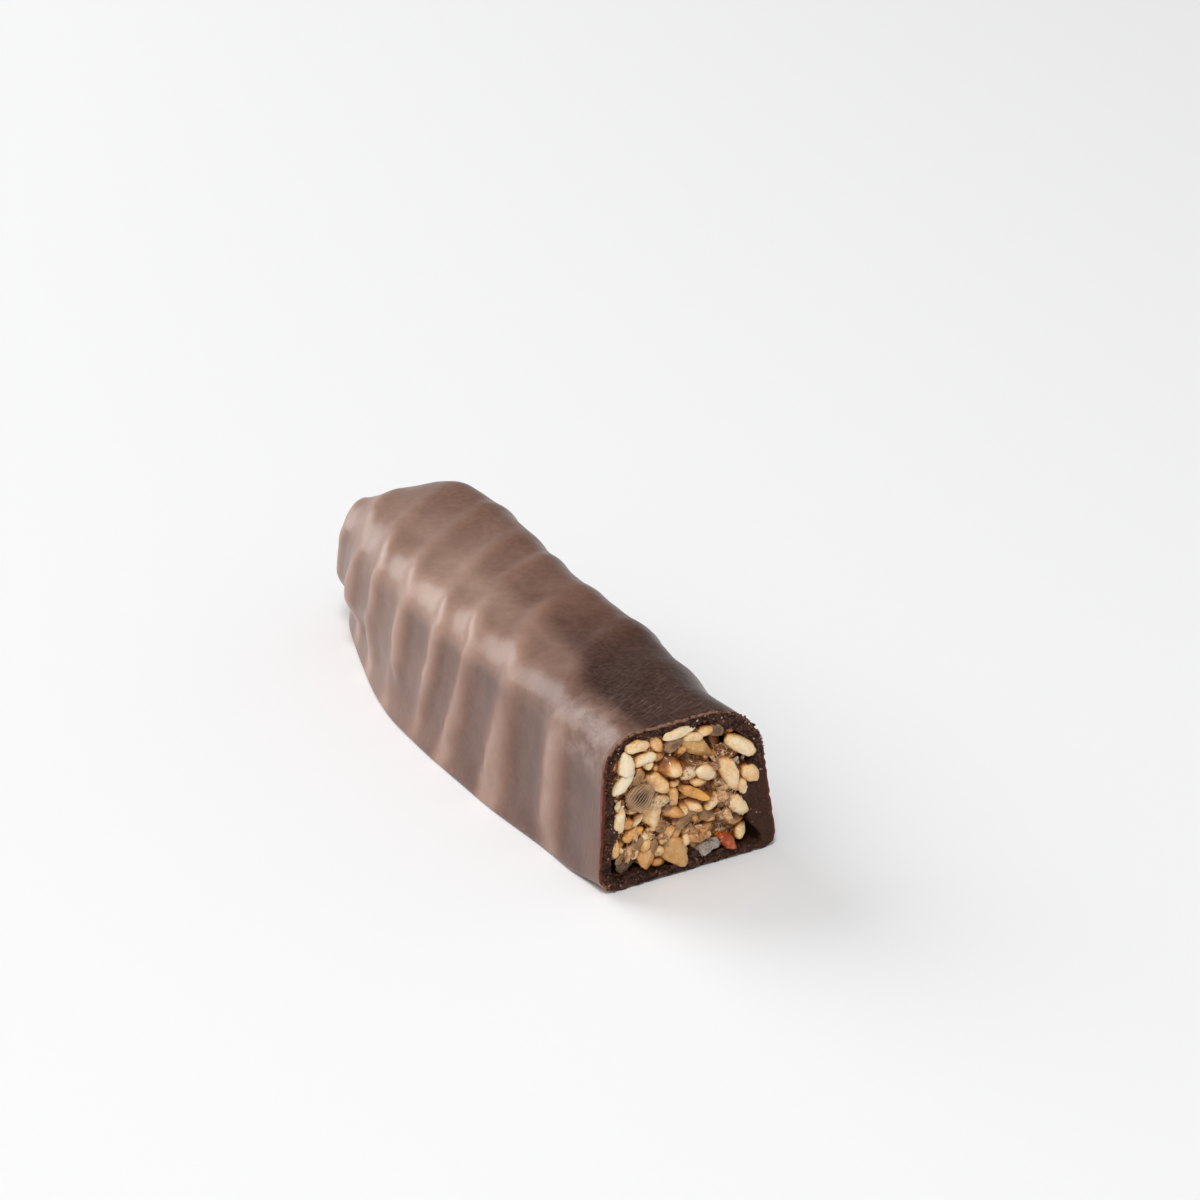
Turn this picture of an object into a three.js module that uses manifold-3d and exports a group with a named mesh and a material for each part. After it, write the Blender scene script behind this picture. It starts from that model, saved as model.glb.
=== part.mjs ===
// Half of a sesame seed bar in a dark chocolate coating, cut across and lying flat.
// Millimetres, +Z up. +Y runs from the cut face to the round end and +X to the right of the cut face.
import * as THREE from 'three';
import { mergeVertices } from 'three/addons/utils/BufferGeometryUtils.js';
import Module from 'manifold-3d';

// The bar: its cross-section is four straight sides that meet in rounded corners
const barLength = 60.6;        // from the cut face to the far side of the round end
const barHeight = 15;          // flat of the top, between the ridges
const baseHalfWidth = 9;
const baseRound = 0.5;
const chippedRound = 1.8;      // the left corner of the base, where the cut chipped it
const leftShoulder = 8.3;      // half the width at the top, where the sides of a shoulder would meet
const leftShoulderRound = 3.2;
const rightShoulder = 8.1;
const rightShoulderRound = 4;
const cutShoulder = 6.5;       // the right side leans in more, and is rounder, at the cut
const cutShoulderRound = 6;

// The round end
const planStart = 36;          // the bar starts to narrow here
const planPower = 3;
const topStart = 51;           // the top starts to come down here
const topPower = 2.2;
const underStart = 53;         // the underside lifts off from here
const underPower = 5;
const bellyHeight = 7;         // the round end reaches furthest at this height
const footTuck = 0.21;         // the foot stands in under the belly by this share
const footTuckTop = 3;         // and is that narrow from this height down
const endShoulderRound = 1.6;  // the left shoulder gets this much rounder towards the end
const bend = 2.2;              // the bar bends to the right by this much towards the end
const spread = 0.05;           // and grows wider by this share before it rounds off
const boxMiddle = 0.53;        // so the middle of its footprint lies this far right of the cut face's middle

// Ridges that set in the coating: where each one crosses the left shoulder
const ridgeAt = [-24, -13, 0, 7.8, 17, 24, 29.5, 36.3, 43, 49, 54.5, 60, 66];
const ridgeDepth = 0.75;
const ridgeSweep = 11;         // a ridge runs this much further back while it crosses the top
const ridgeSharpness = 1.5;
const troughLevel = 0.42;      // share of the depth that lies under the plain surface
const footFlare = 0.7;         // the coating runs out into a low foot along the base
const footHeight = 3.4;

// The filling, inside walls of chocolate
const wallTop = 1.1;
const floorHeight = 1.25;
const fillLeft = 7.6;
const fillRight = 6.6;
const endWall = 3.2;
const clearance = 0.3;         // room between the filling and the coating, but for the floor
const faceRecess = 0.9;        // the packed filling lies this far behind the cut, under the seeds
const faceRoom = 1.5;          // the hollow is cut from this far in front of the cut

// Sesame seeds in the cut face
const seedLength = 3.1;
const seedWidth = 1.75;
const seedThickness = 1.3;
const seedTaper = 0.55;
const seedsProud = 0.5;        // the largest seeds stand this far out of the cut
const seedSides = 5;
const seedRings = 4;
const smallSeeds = 70;
const seedTries = 6000;

// The largest seeds that stand out on the cut face: across, up, length, width, turn in degrees
const largeSeeds = [
  [-5.3, 13.2, 2.7, 1.6, 8], [-1.0, 13.1, 3.3, 1.3, 4], [5.0, 11.3, 3.2, 1.7, -36],
  [0.9, 11.5, 3.0, 2.4, -50], [-6.3, 11.2, 3.2, 2.0, 78], [-2.1, 10.8, 2.5, 2.1, 20],
  [3.8, 8.8, 3.1, 1.7, -66], [-5.0, 8.8, 2.7, 2.2, 15], [0.4, 7.4, 3.0, 1.6, -28],
  [-3.5, 6.1, 2.9, 2.4, 60], [-6.7, 6.6, 2.5, 1.3, 84], [5.1, 6.0, 2.9, 1.8, -35],
  [-1.0, 2.5, 3.1, 2.4, -40], [3.8, 2.6, 2.5, 1.3, -48], [-4.0, 2.6, 2.2, 1.5, 62],
];

const chocolateColour = 0x5a443d;
const sesameColour = 0xc9a574;

const wasm = await Module();
wasm.setup();

function ease(from, to, value) {
  const t = THREE.MathUtils.clamp((value - from) / (to - from), 0, 1);
  return t * t * (3 - 2 * t);
}

// One at the start, round to nothing at the end
function rounded(value, start, end, power) {
  const t = THREE.MathUtils.clamp((value - start) / (end - start), 0, 1);
  return Math.pow(1 - Math.pow(t, power), 1 / power);
}

// A draw that gives the same numbers each time
function makeDraw(seed) {
  let state = seed;
  return () => {
    state = (state + 0x6D2B79F5) | 0;
    let mixed = Math.imul(state ^ (state >>> 15), 1 | state);
    mixed = (mixed + Math.imul(mixed ^ (mixed >>> 7), 61 | mixed)) ^ mixed;
    return ((mixed ^ (mixed >>> 14)) >>> 0) / 4294967296;
  };
}

// A cross-section is four corners, each rounded, with the stretches between them cut where asked.
// Its points go round from the right end of the base, each with the way that it faces.
function sectionPoints(corners, arcSteps, stretches) {
  const points = [];
  const rounds = corners.map((corner, i) => {
    const at = new THREE.Vector2(corner.x, corner.z);
    const before = corners[(i + corners.length - 1) % corners.length];
    const after = corners[(i + 1) % corners.length];
    const back = new THREE.Vector2(before.x, before.z).sub(at).normalize();
    const on = new THREE.Vector2(after.x, after.z).sub(at).normalize();
    const half = Math.acos(back.dot(on)) / 2;
    const reach = corner.radius / Math.tan(half);
    const middle = back.clone().add(on).normalize().multiplyScalar(corner.radius / Math.sin(half)).add(at);
    return { middle, from: back.multiplyScalar(reach).add(at), to: on.multiplyScalar(reach).add(at) };
  });
  rounds.forEach((round, i) => {
    const start = round.from.clone().sub(round.middle);
    const sweep = round.to.clone().sub(round.middle).angle() - start.angle();
    const turn = sweep < 0 ? sweep + 2 * Math.PI : sweep;
    for (let step = 0; step < arcSteps[i]; step++) {
      const arm = start.clone().rotateAround(new THREE.Vector2(), turn * step / arcSteps[i]);
      points.push({ place: arm.clone().add(round.middle), facing: arm.normalize() });
    }
    const next = rounds[(i + 1) % rounds.length];
    const along = next.from.clone().sub(round.to);
    const facing = new THREE.Vector2(along.y, -along.x).normalize();
    for (const share of stretches[i]) {
      points.push({ place: round.to.clone().addScaledVector(along, share), facing });
    }
  });
  return points;
}

// Rings of points from the cut to the round end, closed by a flat front and a last point behind
function skin(rings, frontMiddle, endPoint) {
  const sides = rings[0].length;
  const places = [...rings.flat(), frontMiddle, endPoint];
  const front = places.length - 2;
  const end = places.length - 1;
  const last = (rings.length - 1) * sides;
  const index = [];
  for (let side = 0; side < sides; side++) {
    const next = (side + 1) % sides;
    index.push(front, side, next);
    index.push(end, last + next, last + side);
    for (let ring = 0; ring < rings.length - 1; ring++) {
      const near = ring * sides;
      const far = near + sides;
      index.push(near + side, far + side, far + next);
      index.push(near + side, far + next, near + next);
    }
  }
  const geometry = new THREE.BufferGeometry();
  const numbers = places.flatMap((place) => [place.x, place.y, place.z]);
  geometry.setAttribute('position', new THREE.Float32BufferAttribute(numbers, 3));
  geometry.setIndex(index);
  return geometry;
}

function toSolid(geometry) {
  const bare = geometry.clone();
  bare.deleteAttribute('normal');
  bare.deleteAttribute('uv');
  const merged = mergeVertices(bare);
  return new wasm.Manifold(new wasm.Mesh({
    numProp: 3,
    vertProperties: new Float32Array(merged.attributes.position.array),
    triVerts: new Uint32Array(merged.index.array),
  }));
}

function toGeometry(solid) {
  const mesh = solid.getMesh();
  const geometry = new THREE.BufferGeometry();
  geometry.setAttribute('position', new THREE.Float32BufferAttribute(mesh.vertProperties, 3));
  geometry.setIndex(new THREE.Uint32BufferAttribute(mesh.triVerts, 1));
  geometry.computeVertexNormals();
  return geometry;
}

// How far back along the bar a ridge is carried at this place on the coating
function ridgeShift(x, z, y) {
  const across = THREE.MathUtils.clamp((x + 8) / 16, 0, 1);
  const overTop = ridgeSweep * (1 - Math.pow(1 - across, 1.7));
  const lean = x < 0 ? 1 + 2.5 * ease(10, 30, y) : 2;
  const downWall = Math.max(0, 13 - z) / 11;
  return overTop + lean * downWall;
}

// Narrow crests with broad shallow troughs between them, faint by the cut and gone at the base
function ridgeHeight(x, z, y) {
  const at = y - ridgeShift(x, z, y);
  const after = Math.max(1, ridgeAt.findIndex((place) => place > at));
  const share = (at - ridgeAt[after - 1]) / (ridgeAt[after] - ridgeAt[after - 1]);
  const crest = Math.pow(0.5 + 0.5 * Math.cos(2 * Math.PI * share), ridgeSharpness);
  const onTop = ease(12, 15, z) * ease(6, 2, x);
  const nearCut = 0.25 + 0.75 * ease(1, 7, y) * (1 - onTop * ease(17, 9, y));
  return ridgeDepth * (crest - troughLevel) * nearCut * ease(0.6, 4, z);
}

// The foot that the coating ran out into along both sides of the base
function footReach(x, z, y) {
  const low = THREE.MathUtils.clamp(1 - z / footHeight, 0, 1);
  const atSide = Math.abs(x) > baseHalfWidth - 2 ? Math.sign(x) : 0;
  return footFlare * low * low * ease(8, 20, y) * atSide;
}

// The bar's round end and its bend, for a point of a plain cross-section
function placeAlong(x, z, y, endAt, underAt) {
  const plan = rounded(y, planStart, endAt, planPower);
  const tuck = 1 - footTuck * ease(bellyHeight, footTuckTop, z) * ease(36, 56, y);
  const wide = 1 + spread * ease(30, 52, y);
  const side = z > bellyHeight
    ? rounded(y, topStart, endAt, topPower)
    : rounded(y, underAt, endAt, underPower);
  const across = x * wide * plan * tuck + bend * ease(28, 58, y);
  return new THREE.Vector3(across, y, Math.max(0, bellyHeight + (z - bellyHeight) * side));
}

function coatingRing(y) {
  const settle = ease(5, 20, y);
  const corners = [
    { x: baseHalfWidth, z: 0, radius: baseRound },
    {
      x: THREE.MathUtils.lerp(cutShoulder, rightShoulder, settle),
      z: barHeight,
      radius: THREE.MathUtils.lerp(cutShoulderRound, rightShoulderRound, settle),
    },
    { x: -leftShoulder, z: barHeight, radius: leftShoulderRound + endShoulderRound * ease(38, 54, y) },
    { x: -baseHalfWidth, z: 0, radius: THREE.MathUtils.lerp(chippedRound, baseRound, ease(0, 6, y)) },
  ];
  const upRight = [0, 0.1, 0.24, 0.42, 0.68];
  const overTop = [0, 0.14, 0.28, 0.43, 0.57, 0.71, 0.86];
  const downLeft = [0, 0.32, 0.58, 0.76, 0.9];
  const base = [0, 0.35, 0.65];
  const points = sectionPoints(corners, [2, 5, 5, 2], [upRight, overTop, downLeft, base]);
  const fade = 0.3 + 0.7 * rounded(y, planStart, barLength, planPower);
  return points.map(({ place, facing }) => {
    const rise = ridgeHeight(place.x, place.y, y) * fade;
    const x = place.x + facing.x * rise + footReach(place.x, place.y, y);
    const z = place.y + facing.y * rise;
    return placeAlong(x, z, y, barLength, underStart);
  });
}

function coatingForm() {
  const straightSteps = 62;
  const endSteps = 18;
  const stations = Array.from({ length: straightSteps }, (_, i) => i * topStart / straightSteps);
  for (let i = 0; i < endSteps; i++) {
    stations.push(topStart + (barLength - topStart) * Math.sin(Math.PI / 2 * i / endSteps));
  }
  const front = new THREE.Vector3(0, 0, bellyHeight);
  return skin(stations.map(coatingRing), front, new THREE.Vector3(bend, barLength, bellyHeight));
}

// The filling's own form, drawn in by a gap, from a flat front to its round end
function fillingForm(frontAt, gap) {
  const endAt = barLength - endWall - gap;
  const top = barHeight - wallTop - gap;
  const corners = [
    { x: fillRight - gap, z: floorHeight, radius: 0.9 },
    { x: fillRight - 0.9 - gap, z: top, radius: 4.8 },
    { x: -fillLeft + 0.2 + gap, z: top, radius: 2.3 },
    { x: -fillLeft + gap, z: floorHeight, radius: 1.3 },
  ];
  const halves = [0, 0.5];
  const points = sectionPoints(corners, [2, 4, 3, 2], [halves, halves, halves, halves]);
  const stations = [frontAt, 12, 24, 33, 39, 44, 48, 51, 53.5, 55.3, 56.5];
  const rings = stations.map((y) => (
    points.map(({ place }) => placeAlong(place.x, place.y, y, endAt, underStart - endWall))));
  const front = new THREE.Vector3(0, frontAt, bellyHeight);
  return skin(rings, front, new THREE.Vector3(bend, endAt, bellyHeight));
}

// A sesame seed is a flat drop: a ball with few sides, drawn out, and narrower towards one end
function seedForm(length, width) {
  const seed = new THREE.SphereGeometry(0.5, seedSides, seedRings);
  const place = seed.attributes.position;
  for (let i = 0; i < place.count; i++) {
    const along = place.getY(i);
    const narrow = 1 - seedTaper * along;
    place.setXYZ(i, place.getX(i) * width * narrow, along * length, place.getZ(i) * seedThickness * narrow);
  }
  return seed;
}

// The large seeds first, then smaller ones wherever there is still room between them, a little deeper
function seedSolids() {
  const draw = makeDraw(47);
  const between = (low, high) => low + (high - low) * draw();
  const seeds = largeSeeds.map(([x, z, length, width, degrees]) => (
    { x, z, length, width, turn: THREE.MathUtils.degToRad(degrees), depth: between(0.3, 0.45) }));
  for (let tries = 0; tries < seedTries && seeds.length < largeSeeds.length + smallSeeds; tries++) {
    const length = seedLength * between(0.72, 1);
    const width = seedWidth * between(0.75, 1.1);
    const x = between(-fillLeft + 0.6, fillRight - 0.6);
    const z = between(floorHeight + 0.6, barHeight - wallTop - 0.8);
    const apart = THREE.MathUtils.lerp(1.35, 0.95, tries / seedTries);
    if (seeds.every((other) => Math.hypot(other.x - x, other.z - z) > apart + 0.15 * other.width)) {
      seeds.push({ x, z, length, width, turn: between(0, Math.PI), depth: between(0.4, 0.8) });
    }
  }
  return seeds.map((seed) => {
    const form = seedForm(seed.length, seed.width);
    form.rotateZ(Math.PI / 2);
    form.rotateX(Math.PI / 2 + between(-0.5, 0.5));
    form.rotateZ(between(-0.35, 0.35));
    form.rotateY(-seed.turn);
    form.translate(seed.x, seed.depth, seed.z);
    return toSolid(form);
  });
}

function nodeOf(name, solid, colour, roughness) {
  const material = new THREE.MeshStandardMaterial({ color: colour, roughness, metalness: 0 });
  const mesh = new THREE.Mesh(toGeometry(solid), material);
  mesh.name = name;
  mesh.position.set(-boxMiddle, -(barLength - seedsProud) / 2, 0);
  return mesh;
}

const cavity = toSolid(fillingForm(-faceRoom, 0));
const coating = toSolid(coatingForm()).subtract(cavity);

const packed = toSolid(fillingForm(faceRecess, clearance));
const seedRoom = toSolid(fillingForm(-faceRoom, clearance));
const heap = seedSolids().reduce((whole, seed) => whole.add(seed), packed);
const filling = heap.intersect(seedRoom);

const bar = new THREE.Group();
bar.add(nodeOf('chocolate_coating', coating, chocolateColour, 0.42));
bar.add(nodeOf('sesame_filling', filling, sesameColour, 0.5));

export default bar;
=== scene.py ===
# Half of a sesame bar in dark chocolate, cut across: its looks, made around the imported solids.
import math
import random

import bpy
import numpy as np
from mathutils import Matrix, Vector
from mathutils.bvhtree import BVHTree


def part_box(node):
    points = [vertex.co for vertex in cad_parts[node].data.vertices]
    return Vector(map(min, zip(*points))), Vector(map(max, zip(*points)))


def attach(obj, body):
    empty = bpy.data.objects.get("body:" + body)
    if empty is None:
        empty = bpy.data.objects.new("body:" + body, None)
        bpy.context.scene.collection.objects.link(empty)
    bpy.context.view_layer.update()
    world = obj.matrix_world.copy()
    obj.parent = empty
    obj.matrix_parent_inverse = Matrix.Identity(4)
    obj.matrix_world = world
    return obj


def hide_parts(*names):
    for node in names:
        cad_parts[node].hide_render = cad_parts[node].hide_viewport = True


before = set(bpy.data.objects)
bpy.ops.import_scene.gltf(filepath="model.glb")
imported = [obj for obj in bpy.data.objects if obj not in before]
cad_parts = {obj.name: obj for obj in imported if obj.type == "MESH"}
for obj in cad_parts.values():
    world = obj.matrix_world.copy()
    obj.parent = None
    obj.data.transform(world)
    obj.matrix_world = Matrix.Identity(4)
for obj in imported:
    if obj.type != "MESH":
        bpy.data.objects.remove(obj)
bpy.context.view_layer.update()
mm = 0.001
coatingLow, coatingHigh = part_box("chocolate_coating")
cutPlane = coatingLow.y / mm       # the cut face; everything below is planned from it, in mm
barLength = (coatingHigh.y - coatingLow.y) / mm
faceMiddle = -0.53                 # the cut face's middle lies this far left of the footprint's middle
print("frame loaded, bar", round(barLength, 2), "mm long")


# Camera

cameraView = dict(
    azimuth=-30.6,                 # degrees, as in the photograph
    elevation=26,
    distance=330,                  # mm from what it looks at
    target=(-8.9, 0, 28.33),       # mm from the foot of the cut face's middle
    lens=120,
)


def addCamera(spec):
    turn = math.radians(spec["azimuth"])
    rise = math.radians(spec["elevation"])
    back = Vector((math.sin(turn) * math.cos(rise), -math.cos(turn) * math.cos(rise), math.sin(rise)))
    target = Vector(spec["target"]) + Vector((faceMiddle, cutPlane, 0))
    data = bpy.data.cameras.new("photoCamera")
    data.lens = spec["lens"]
    data.clip_start = 0.01
    data.clip_end = 20
    camera = bpy.data.objects.new("photoCamera", data)
    camera.location = (target + back * spec["distance"]) * mm
    camera.rotation_euler = (-back).to_track_quat("-Z", "Y").to_euler()
    bpy.context.scene.collection.objects.link(camera)
    bpy.context.scene.camera = camera


addCamera(cameraView)
print("camera set")


# Small helpers for node trees


def plug(tree, value, socket):     # a link for a field, else a plain value
    if isinstance(value, Field):
        tree.links.new(value.socket, socket)
    else:
        socket.default_value = value


def addNode(tree, kind, inputs=None, **settings):
    made = tree.nodes.new(kind)
    for name, value in settings.items():
        setattr(made, name, value)
    for name, value in (inputs or {}).items():
        plug(tree, value, made.inputs[name])
    return made


def take(tree, kind, inputs=None, output=0, **settings):    # one output of a new node
    return Field(tree, addNode(tree, kind, inputs, **settings).outputs[output])


class Field:                       # a value in a node tree that is reckoned with like a plain one
    def __init__(self, tree, socket):
        self.tree = tree
        self.socket = socket

    def reckon(self, operation, *others):
        return take(self.tree, "ShaderNodeMath", dict(enumerate((self, *others))), operation=operation)

    def __rsub__(self, other):
        return self * -1 + other

    def bounded(self):
        self.socket.node.use_clamp = True
        return self

    def ease(self, start, end):    # smooth from nothing at start to one at end
        return take(self.tree, "ShaderNodeMapRange", {"Value": self, "From Min": start, "From Max": end},
                    "Result", interpolation_type="SMOOTHSTEP")

    def rounded(self, start, end, power):    # one at start, round to nothing at end
        share = ((self - start) / (end - start)).bounded()
        return (1 - share ** power).bounded() ** (1 / power)

    def xyz(self, unit=1):         # its three coordinates, counted in a unit
        parts = addNode(self.tree, "ShaderNodeSeparateXYZ", {"Vector": self})
        return [Field(self.tree, socket) / unit for socket in parts.outputs]


fieldOperations = dict(__add__="ADD", __radd__="ADD", __sub__="SUBTRACT", __mul__="MULTIPLY",
                       __rmul__="MULTIPLY", __truediv__="DIVIDE", __pow__="POWER", above="GREATER_THAN")
for method, operation in fieldOperations.items():
    setattr(Field, method, lambda self, other, operation=operation: self.reckon(operation, other))


def groupInputs(tree, inputs, outputs):    # an input is given by its number, or else by its kind
    for name, value in inputs.items():
        kind = value if isinstance(value, str) else "Float"
        socket = tree.interface.new_socket(name, in_out="INPUT", socket_type="NodeSocket" + kind)
        if kind == "Float":
            socket.default_value = value
    for name, kind in outputs.items():
        tree.interface.new_socket(name, in_out="OUTPUT", socket_type="NodeSocket" + kind)
    entry = tree.nodes.new("NodeGroupInput")
    return {name: Field(tree, entry.outputs[name]) for name in inputs}


def geometryTree(name, inputs):
    tree = bpy.data.node_groups.new(name, "GeometryNodeTree")
    return tree, groupInputs(tree, {"Geometry": "Geometry", **inputs}, {"Geometry": "Geometry"})


def attributeField(tree, name, kind="FLOAT"):
    return take(tree, "GeometryNodeInputNamedAttribute", {"Name": name}, "Attribute", data_type=kind)


def storeField(geometry, name, value, domain="POINT"):
    return take(geometry.tree, "GeometryNodeStoreNamedAttribute",
                {"Geometry": geometry, "Name": name, "Value": value}, data_type="FLOAT", domain=domain)


def noiseField(tree, size, place, detail=2.0, roughness=0.5, output="Fac"):    # size of a lump in mm
    return take(tree, "ShaderNodeTexNoise", {
        "Vector": place, "Scale": 1 / (size * mm), "Detail": detail, "Roughness": roughness}, output)


def movePoints(geometry, **change):    # by an Offset, or to a Position
    return take(geometry.tree, "GeometryNodeSetPosition", {"Geometry": geometry, **change})


def scaled(vector, scale):
    return take(vector.tree, "ShaderNodeVectorMath", {0: vector, "Scale": scale}, operation="SCALE")


def dressed(geometry, finish, **where):
    return take(geometry.tree, "GeometryNodeSetMaterial", {"Geometry": geometry, "Material": finish, **where})


def endTree(geometry, finish, smooth=False, **where):    # real meshes in their finish
    tree = geometry.tree
    if smooth:
        geometry = take(tree, "GeometryNodeSetShadeSmooth", {"Geometry": geometry})
    whole = take(tree, "GeometryNodeRealizeInstances", {"Geometry": geometry})
    plug(tree, dressed(whole, finish, **where), tree.nodes.new("NodeGroupOutput").inputs["Geometry"])


def makeByTree(name, source, tree, values):    # the tree's result as a plain mesh
    modifier = source.modifiers.new(tree.name, "NODES")
    modifier.node_group = tree
    for item in tree.interface.items_tree:
        if item.item_type == "SOCKET" and item.in_out == "INPUT" and item.name in values:
            modifier[item.identifier] = values[item.name]
    bpy.context.view_layer.update()
    evaluated = source.evaluated_get(bpy.context.evaluated_depsgraph_get())
    mesh = bpy.data.meshes.new_from_object(evaluated)
    mesh.name = name
    made = bpy.data.objects.new(name, mesh)
    bpy.context.scene.collection.objects.link(made)
    source.modifiers.remove(modifier)
    bpy.data.objects.remove(source)
    return made


def meshObject(name, places, faces=(), attributes=None, smooth=False):
    mesh = bpy.data.meshes.new(name)
    mesh.from_pydata([tuple(place) for place in places], [], [tuple(face) for face in faces])
    for title, values in (attributes or {}).items():
        values = np.asarray(values, dtype=np.float32)
        kind, field = ("FLOAT_VECTOR", "vector") if values.ndim == 2 else ("FLOAT", "value")
        mesh.attributes.new(title, kind, "POINT").data.foreach_set(field, values.ravel())
    if smooth:
        mesh.shade_smooth()
    made = bpy.data.objects.new(name, mesh)
    bpy.context.scene.collection.objects.link(made)
    return made


# Between rings of points, with poles at the ends where they are given
def ringFaces(rings, sides, first=0, low=None, high=None, turned=False):
    last = first + (rings - 1) * sides
    pairs = [(side, (side + 1) % sides) for side in range(sides)]
    faces = [(ring + side, ring + sides + side, ring + sides + after, ring + after)
             for ring in range(first, last, sides) for side, after in pairs]
    for side, after in pairs:
        if low is not None:
            faces.append((low, first + side, first + after))
        if high is not None:
            faces.append((high, last + after, last + side))
    return [(face[0], *face[:0:-1]) for face in faces] if turned else faces


def finishPiece(piece, replaced=None):
    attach(piece, "root")
    if replaced:
        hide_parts(replaced)
    print(piece.name, len(piece.data.polygons), "faces")


# Shader groups that more than one material uses


def shaderGroup(name, inputs, outputs, rule):    # the rule gives the outputs from the place and the inputs
    tree = bpy.data.node_groups.new(name, "ShaderNodeTree")
    entries = groupInputs(tree, inputs, {title: "Float" for title in outputs})
    place = take(tree, "ShaderNodeTexCoord", output="Object")
    leave = tree.nodes.new("NodeGroupOutput")
    for title, value in zip(outputs, rule(tree, place, *entries.values())):
        plug(tree, value, leave.inputs[title])
    return tree


def grainRule(tree, place, size, fineSize):    # crumbly grain: a height, and pale specks of it
    lumps = take(tree, "ShaderNodeTexNoise", {
        "Vector": place, "Scale": size ** -1, "Detail": 3.0, "Roughness": 0.6})
    dots = take(tree, "ShaderNodeTexVoronoi", {"Vector": place, "Scale": fineSize ** -1})
    return lumps + (1 - dots) * 0.25, dots.ease(0.3, 0.12) * lumps.ease(0.5, 0.66)


def mottleRule(tree, place, size, sharpness):    # soft blotches, from nothing to one
    blotch = take(tree, "ShaderNodeTexNoise", {
        "Vector": place, "Scale": size ** -1, "Detail": 4.0, "Roughness": 0.55})
    half = 0.25 - sharpness * 0.2
    return [blotch.ease(0.5 - half, half + 0.5)]


def strokeRule(tree, place, width, length, turn):    # fine strokes that run one way, as a brush leaves them
    turned = take(tree, "ShaderNodeVectorRotate", {"Vector": place, "Rotation": turn}, rotation_type="EULER_XYZ")
    x, y, z = turned.xyz()
    drawn = take(tree, "ShaderNodeCombineXYZ", {0: x / width, 1: y / length, 2: z / width})
    return [take(tree, "ShaderNodeTexNoise", {"Vector": drawn, "Scale": 1.0, "Detail": 3.0})]


grain = shaderGroup("grain", {"Grain Size": 0.25 * mm, "Fine Size": 0.07 * mm}, ["Height", "Specks"], grainRule)
mottle = shaderGroup("mottle", {"Blotch Size": 4 * mm, "Sharpness": 0.5}, ["Mask"], mottleRule)
scratches = shaderGroup("scratches", {"Stroke Width": 0.12 * mm, "Stroke Length": 3 * mm, "Turn": "Vector"},
                        ["Height"], strokeRule)


def useGroup(tree, group, *values):
    made = addNode(tree, "ShaderNodeGroup", dict(enumerate(values)), node_tree=group)
    return [Field(tree, socket) for socket in made.outputs]


def grained(tree, size, fineSize):    # sizes in mm
    return useGroup(tree, grain, size * mm, fineSize * mm)


def mottled(tree, size, sharpness):
    return useGroup(tree, mottle, size * mm, sharpness)[0]


def stroked(tree, width, length, turn):
    return useGroup(tree, scratches, width * mm, length * mm, [math.radians(angle) for angle in turn])[0]


def newMaterial(name, **constants):
    material = bpy.data.materials.new(name)
    material.use_nodes = True
    tree = material.node_tree
    for socket, value in constants.items():
        tree.nodes["Principled BSDF"].inputs[socket.replace("_", " ")].default_value = value
    return material, tree, take(tree, "ShaderNodeTexCoord", output="Object")


def linkShader(material, bump=None, **fields):    # bump as height, depth in mm and strength
    tree = material.node_tree
    shader = tree.nodes["Principled BSDF"]
    if bump:
        fields["Normal"] = take(tree, "ShaderNodeBump", {
            "Height": bump[0], "Distance": bump[1] * mm, "Strength": bump[2]})
    for socket, value in fields.items():
        plug(tree, value, shader.inputs[socket.replace("_", " ")])
    return material


def mixColour(share, *tones):
    first, second = [(*tone, 1) if isinstance(tone, tuple) else tone for tone in tones]
    return take(share.tree, "ShaderNodeMix", {0: share, 6: first, 7: second}, 2, data_type="RGBA")


def paint(base, *coats):           # each coat as its share and its colour
    for share, tone in coats:
        base = mixColour(share, base, tone)
    return base


def mixNumber(share, first, second):
    return share * (first * -1 + second) + first


def addRamp(value, stops):
    ramp = addNode(value.tree, "ShaderNodeValToRGB", {"Fac": value})
    elements = ramp.color_ramp.elements
    while len(elements) < len(stops):
        elements.new(0.5)
    for element, (position, colour) in zip(elements, stops):
        element.position = position
        element.color = (*colour, 1)
    return Field(value.tree, ramp.outputs["Color"])


def meshFields(tree, names):       # attributes of the mesh
    return [take(tree, "ShaderNodeAttribute", output="Fac", attribute_name=name) for name in names.split()]


# Chocolate coating

section = dict(                    # the cross-section, mm
    height=15,
    halfBase=9,
    baseRound=0.5,
    chippedRound=1.9,              # left corner of the base at the cut
    wornRound=1.3,                 # right corner of the base at the cut
    leftShoulder=8.3,
    leftRound=3.2,
    endLeftRound=1.6,              # the left shoulder gets this much rounder towards the end
    rightShoulder=8.1,
    rightRound=4,
    cutBase=9.2,
    cutShoulder=6.75,              # the right side leans in at the cut
    cutRound=6,
    fillLeft=7.6,
    fillRight=6.6,
    floor=1.25,
    wallTop=1.1,
    endWall=3.2,
    belly=7,                       # height of the middle that all sections are drawn round
)

coatingMesh = dict(
    sides=300,
    cutStations=14,
    straightStations=186,
    endStations=36,
    faceRings=18,
    hollowRings=34,
    rimRound=0.14,
    lipRound=0.1,
    nearCut=1.6,
    roundFrom=51,
    chipSeed=12,
    chipDepth=0.1,
)

coatingRule = {                    # the tree's inputs, metres
    "Ridge Depth": 0.72 * mm,
    "Ridge Sweep": 11 * mm,
    "Ridge Sharpness": 1.9,
    "Trough Level": 0.38,
    "Ridge Wander": 1.3 * mm,
    "Foot Reach": 0.7 * mm,
    "Foot Height": 3.4 * mm,
    "Lump Height": 0.16 * mm,
    "Bend": 2.2 * mm,
    "Break Depth": 0.42 * mm,
    "Dimple Depth": 0.09 * mm,
    "Front Lift": 0.28 * mm,
}

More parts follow.
